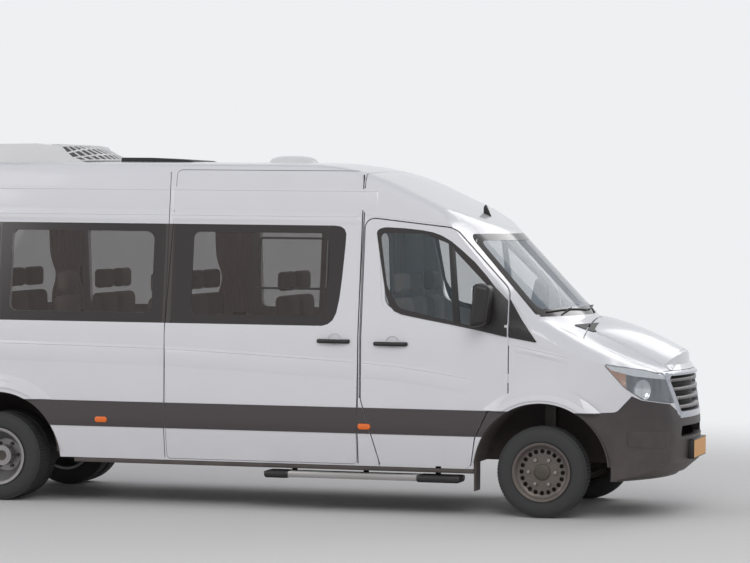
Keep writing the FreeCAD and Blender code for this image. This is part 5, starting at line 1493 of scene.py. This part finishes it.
@dataclass
class RoofKit:
    """Cooler grille, hatch, vent dome and antenna fin."""

    bar: float = 0.0085
    bar_top: float = 2.779

    def dome(self) -> bpy.types.Object:
        """Make the moulded vent dome with its skirt."""
        profile = [(0.0, 0.0), (0.0, 0.200), (0.030, 0.205), (0.038, 0.196), (0.064, 0.176), (0.082, 0.130),
                   (0.089, 0.070), (0.091, 0.0)]
        dome = spun("vent_dome", profile, (0.0, 0.0, 0.0), 1, 56)
        turn = Matrix.Rotation(math.radians(90), 4, "X")
        dome.data.transform(Matrix.Translation((0.210, 0.0, 2.618)) @ turn)
        return dome

    def build(self) -> None:
        """Replace the roof fittings and give the cooler its nose."""
        dress(self.dome(), GELCOAT, "chassis", ("roof_fittings",))
        lid = [(-1.120, 2.640), (-1.112, 2.684), (-0.860, 2.684), (-0.560, 2.668), (-0.505, 2.652),
               (-0.500, 2.636)]
        hatch = extruded("roof_hatch", lid, side_on, -0.330, 0.330, 0.004)
        dress(hatch, CHASSIS_STEEL, "chassis", ("roof_fittings",))
        outline = [(1.752, 2.240), (1.752, 2.318), (1.762, 2.336), (1.774, 2.340), (1.815, 2.245)]
        fin = extruded("antenna_fin", outline, side_on, -0.008, 0.008, 0.004)
        dress(fin, BLACK_ABS, "chassis", ("roof_fittings",))
        self.mesh()

    def nose_line(self, y: float) -> list[Pair]:
        """Return the cooler nose's profile at one distance from the middle."""
        wall = [(-1.611, 2.784), (-1.545, 2.766), (-1.492, 2.712), (-1.447, 2.674), (-1.378, 2.654),
                (-1.300, 2.640)]
        ridge = [(-1.611, 2.785), (-1.500, 2.774), (-1.422, 2.756), (-1.314, 2.708), (-1.243, 2.664),
                 (-1.215, 2.640)]
        share = 1.0 - (abs(y) / 0.556) ** 2
        return [(a[0] + (b[0] - a[0]) * share, a[1] + (b[1] - a[1]) * share) for a, b in zip(wall, ridge)]

    def mesh(self) -> None:
        """Make the cooler's dark nose and the open white mesh over it."""
        rows = [-0.556 + 0.0556 * i for i in range(21)]
        rings = [[(x, y, z) for x, z in self.nose_line(y)] + [(-1.300, y, 2.632), (-1.616, y, 2.632),
                                                              (-1.616, y, 2.780)] for y in rows]
        dress(lofted("cooler_nose", rings, 40), BUMPER_PLASTIC, "chassis")
        bars = [tube("bar", [(x, y, min(z + 0.001, self.bar_top)) for x, z in self.nose_line(y)[:5]], self.bar)
                for y in [-0.552 + 0.0849 * i for i in range(14)]]
        for index in range(5):
            line = [(self.nose_line(y)[index][0], y, self.nose_line(y)[index][1]) for y in rows]
            bars.append(tube("bar", [(x, y, min(z, self.bar_top)) for x, y, z in line], self.bar))
        dress(merged("cooler_mesh", bars), GELCOAT, "chassis")
        outline = self.nose_line(rows[0]) + [(-1.300, 2.632), (-1.616, 2.632), (-1.616, 2.784)]
        cheeks = [extruded("cheek", outline, side_on, y, y + 0.0035) for y in (-0.5595, 0.5555)]
        dress(merged("cooler_cheeks", cheeks), GELCOAT, "chassis")


@dataclass
class Trim:
    """Wipers, side step treads, plate frame and rear door furniture."""

    screen_radius: float = 1.632
    screen_foot: float = 4.0754
    screen_slope: float = 0.9632

    def screen_x(self, y: float, z: float) -> float:
        """Return the windscreen's outer surface at one height and side."""
        bulge = self.screen_radius - math.sqrt(self.screen_radius * self.screen_radius - y * y)
        return self.screen_foot - self.screen_slope * z - bulge

    def wiper(self, name: str, pivot: float, reach: Pair) -> None:
        """Park one wiper along the foot of the screen.

        Args:
            name: Name of the piece.
            pivot: Place of the arm's pivot across the vehicle.
            reach: Where the blade starts and ends across the vehicle.
        """
        blade = []
        for i in range(9):
            y = reach[0] + (reach[1] - reach[0]) * i / 8
            z = 1.536 + 0.012 * math.sin(math.pi * i / 8)
            blade.append((self.screen_x(y, z) + 0.004, y, z + 0.005))
        foot = (self.screen_x(pivot, 1.512) + 0.002, pivot, 1.514)
        arm = [foot, (blade[4][0] + 0.004, (pivot + blade[4][1]) / 2, blade[4][2] + 0.006),
               (blade[4][0] + 0.003, blade[4][1], blade[4][2] + 0.007)]
        parts = [tube("blade", blade, 0.006), tube("arm", arm, 0.006)]
        dress(shade(merged(name, parts), 40), BLACK_ABS, "chassis")

    def step(self) -> None:
        """Lay ribbed aluminium and end caps on the side step."""
        rear, front, outer, inner, top = 0.286, 1.816, -1.000, -0.810, 0.295
        start, end = rear + 0.190, front - 0.330
        ribs = []
        for i in range(9):
            y = outer + 0.022 + i * 0.0182
            ribs.append(cuboid("rib", (start, y - 0.0045, top - 0.001), (end, y + 0.0045, top + 0.004), 0.0018))
        edge = cuboid("edge", (start, outer - 0.004, top - 0.040), (end, outer + 0.006, top + 0.003), 0.002)
        dress(merged("step_tread_ribs", ribs + [edge]), ALUMINIUM, "chassis")
        caps = [cuboid("cap", (x0, outer - 0.006, 0.246), (x1, inner + 0.004, 0.301), 0.020, 4)
                for x0, x1 in ((rear - 0.002, rear + 0.195), (front - 0.335, front + 0.002))]
        dress(merged("step_end_caps", caps), BLACK_ABS, "chassis")

    def plate(self) -> None:
        """Frame the blank plate."""
        bars = [cuboid("bar", (3.424, *low), (3.4722, *high), 0.002) for low, high in (
            ((-0.267, 0.428), (0.267, 0.4368)), ((-0.267, 0.5652), (0.267, 0.574)),
            ((-0.267, 0.428), (-0.2592, 0.574)), ((0.2592, 0.428), (0.267, 0.574)),
        )]
        dress(merged("plate_frame", bars), BLACK_ABS, "chassis")

    def rear(self) -> None:
        """Add the handle of the rear doors."""
        handle = cuboid("rear_handle", (-3.452, -0.250, 1.000), (-3.428, -0.080, 1.040), 0.010, 4)
        dress(handle, BLACK_ABS, "rear_door_right")

    def build(self) -> None:
        """Add all trim."""
        self.wiper("wiper_right", -0.60, (-0.74, -0.08))
        self.wiper("wiper_left", 0.10, (-0.02, 0.66))
        self.step()
        self.plate()
        self.rear()


@dataclass
class Studio:
    """Pale floor and air, soft lights and the camera at the photograph's view."""

    focal_px: float = 3369.11
    frame_px: float = 750.0
    eye: Point = (7.7258, -25.552, 2.4297)
    yaw: float = 14.996
    pitch: float = -1.522
    roll: float = 0.516
    backdrop: str = "#EEF0F2"
    floor: str = "#D9D7D3"

    def camera(self) -> None:
        """Set the camera by its fitted place and angles."""
        yaw, pitch, roll = (math.radians(a) for a in (self.yaw, self.pitch, self.roll))
        forward = Vector((-math.sin(yaw) * math.cos(pitch), math.cos(yaw) * math.cos(pitch), math.sin(pitch)))
        level = Vector((math.cos(yaw), math.sin(yaw), 0.0))
        upright = level.cross(forward)
        right = level * math.cos(roll) + upright * math.sin(roll)
        top = upright * math.cos(roll) - level * math.sin(roll)
        data = bpy.data.cameras.new("camera")
        data.sensor_width = 36.0
        data.lens = 36.0 * self.focal_px / self.frame_px
        data.clip_end = 300.0
        camera = bpy.data.objects.new("camera", data)
        bpy.context.collection.objects.link(camera)
        turn = Matrix((right, top, -forward)).transposed().to_4x4()
        camera.matrix_world = Matrix.Translation(self.eye) @ turn
        bpy.context.scene.camera = camera

    def light(self, name: str, place: Point, target: Point, size: float, power: float) -> None:
        """Add one large soft lamp that looks at a point."""
        data = bpy.data.lights.new(name, "AREA")
        data.shape = "DISK"
        data.size = size
        data.energy = power
        lamp = bpy.data.objects.new(name, data)
        bpy.context.collection.objects.link(lamp)
        lamp.location = place
        lamp.rotation_euler = (Vector(target) - Vector(place)).to_track_quat("-Z", "Y").to_euler()

    def seen(self, tree: bpy.types.NodeTree) -> bpy.types.NodeSocket:
        """Return 1 for rays of the camera, of gloss and through glass."""
        path = add_node(tree, "ShaderNodeLightPath")
        seen = compute(tree, "MAXIMUM", path.outputs["Is Camera Ray"], path.outputs["Is Glossy Ray"])
        return compute(tree, "MAXIMUM", seen, path.outputs["Is Transmission Ray"])

    def world(self) -> None:
        """Light the air softly and show a pale background to camera and gloss."""
        world = bpy.data.worlds.new("studio")
        world.use_nodes = True
        bpy.context.scene.world = world
        tree = world.node_tree
        tree.nodes.clear()
        seen = self.seen(tree)
        ambient = add_node(tree, "ShaderNodeBackground", {"Color": (0.80, 0.82, 0.90, 1.0), "Strength": 0.60})
        shown = add_node(tree, "ShaderNodeBackground", {"Color": linear(self.backdrop), "Strength": 1.0})
        mix = add_node(tree, "ShaderNodeMixShader", {0: seen, 1: ambient.outputs[0], 2: shown.outputs[0]})
        output = add_node(tree, "ShaderNodeOutputWorld")
        tree.links.new(mix.outputs[0], output.inputs["Surface"])

    def cove(self) -> None:
        """Lay the pale studio floor."""
        bpy.ops.mesh.primitive_plane_add(size=160.0, location=(0.0, 0.0, 0.0))
        floor = newest("studio_floor")
        material = bpy.data.materials.new("studio_floor")
        material.use_nodes = True
        tree = material.node_tree
        tree.nodes.clear()
        place = add_node(tree, "ShaderNodeTexCoord").outputs["Object"]
        reach = add_node(tree, "ShaderNodeVectorMath", {0: place}, operation="LENGTH").outputs["Value"]
        far = add_node(tree, "ShaderNodeMapRange", {"Value": reach, "From Min": 5.0, "From Max": 11.0},
                       interpolation_type="SMOOTHSTEP")
        seen = self.seen(tree)
        share = compute(tree, "MULTIPLY", seen, far.outputs[0])
        shader = add_node(tree, "ShaderNodeBsdfPrincipled", {
            "Base Color": linear(self.floor), "Roughness": 0.75,
        })
        glow = add_node(tree, "ShaderNodeEmission", {"Color": linear(self.backdrop), "Strength": 1.0})
        mix = add_node(tree, "ShaderNodeMixShader", {0: share, 1: shader.outputs[0], 2: glow.outputs[0]})
        output = add_node(tree, "ShaderNodeOutputMaterial")
        tree.links.new(mix.outputs[0], output.inputs["Surface"])
        floor.data.materials.append(material)

    def build(self) -> None:
        """Build camera, floor and lights."""
        self.camera()
        self.world()
        self.cove()
        self.light("key", (5.5, -11.0, 8.5), (0.5, 0.0, 1.2), 7.0, 430.0)
        self.light("fill", (-9.0, -10.0, 6.0), (-0.5, 0.0, 1.2), 8.0, 270.0)
        self.light("back", (6.0, 10.0, 8.0), (1.5, 0.0, 1.5), 6.0, 240.0)
        bpy.context.scene.view_settings.view_transform = "Standard"


def main() -> None:
    """Build the dressed vehicle and its studio."""
    logging.basicConfig(level=logging.INFO, format="%(message)s")
    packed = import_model()
    bpy.ops.object.select_all(action="DESELECT")
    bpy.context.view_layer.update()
    frame = Frame(packed)
    Studio().build()
    Bodywork(frame).build()
    Glazing(frame).build()
    Wheels().build()
    DoorFurniture(frame).build()
    Lamps(frame).build()
    Cabin().build()
    RoofKit().build()
    Trim().build()


if __name__ == "__main__":
    main()
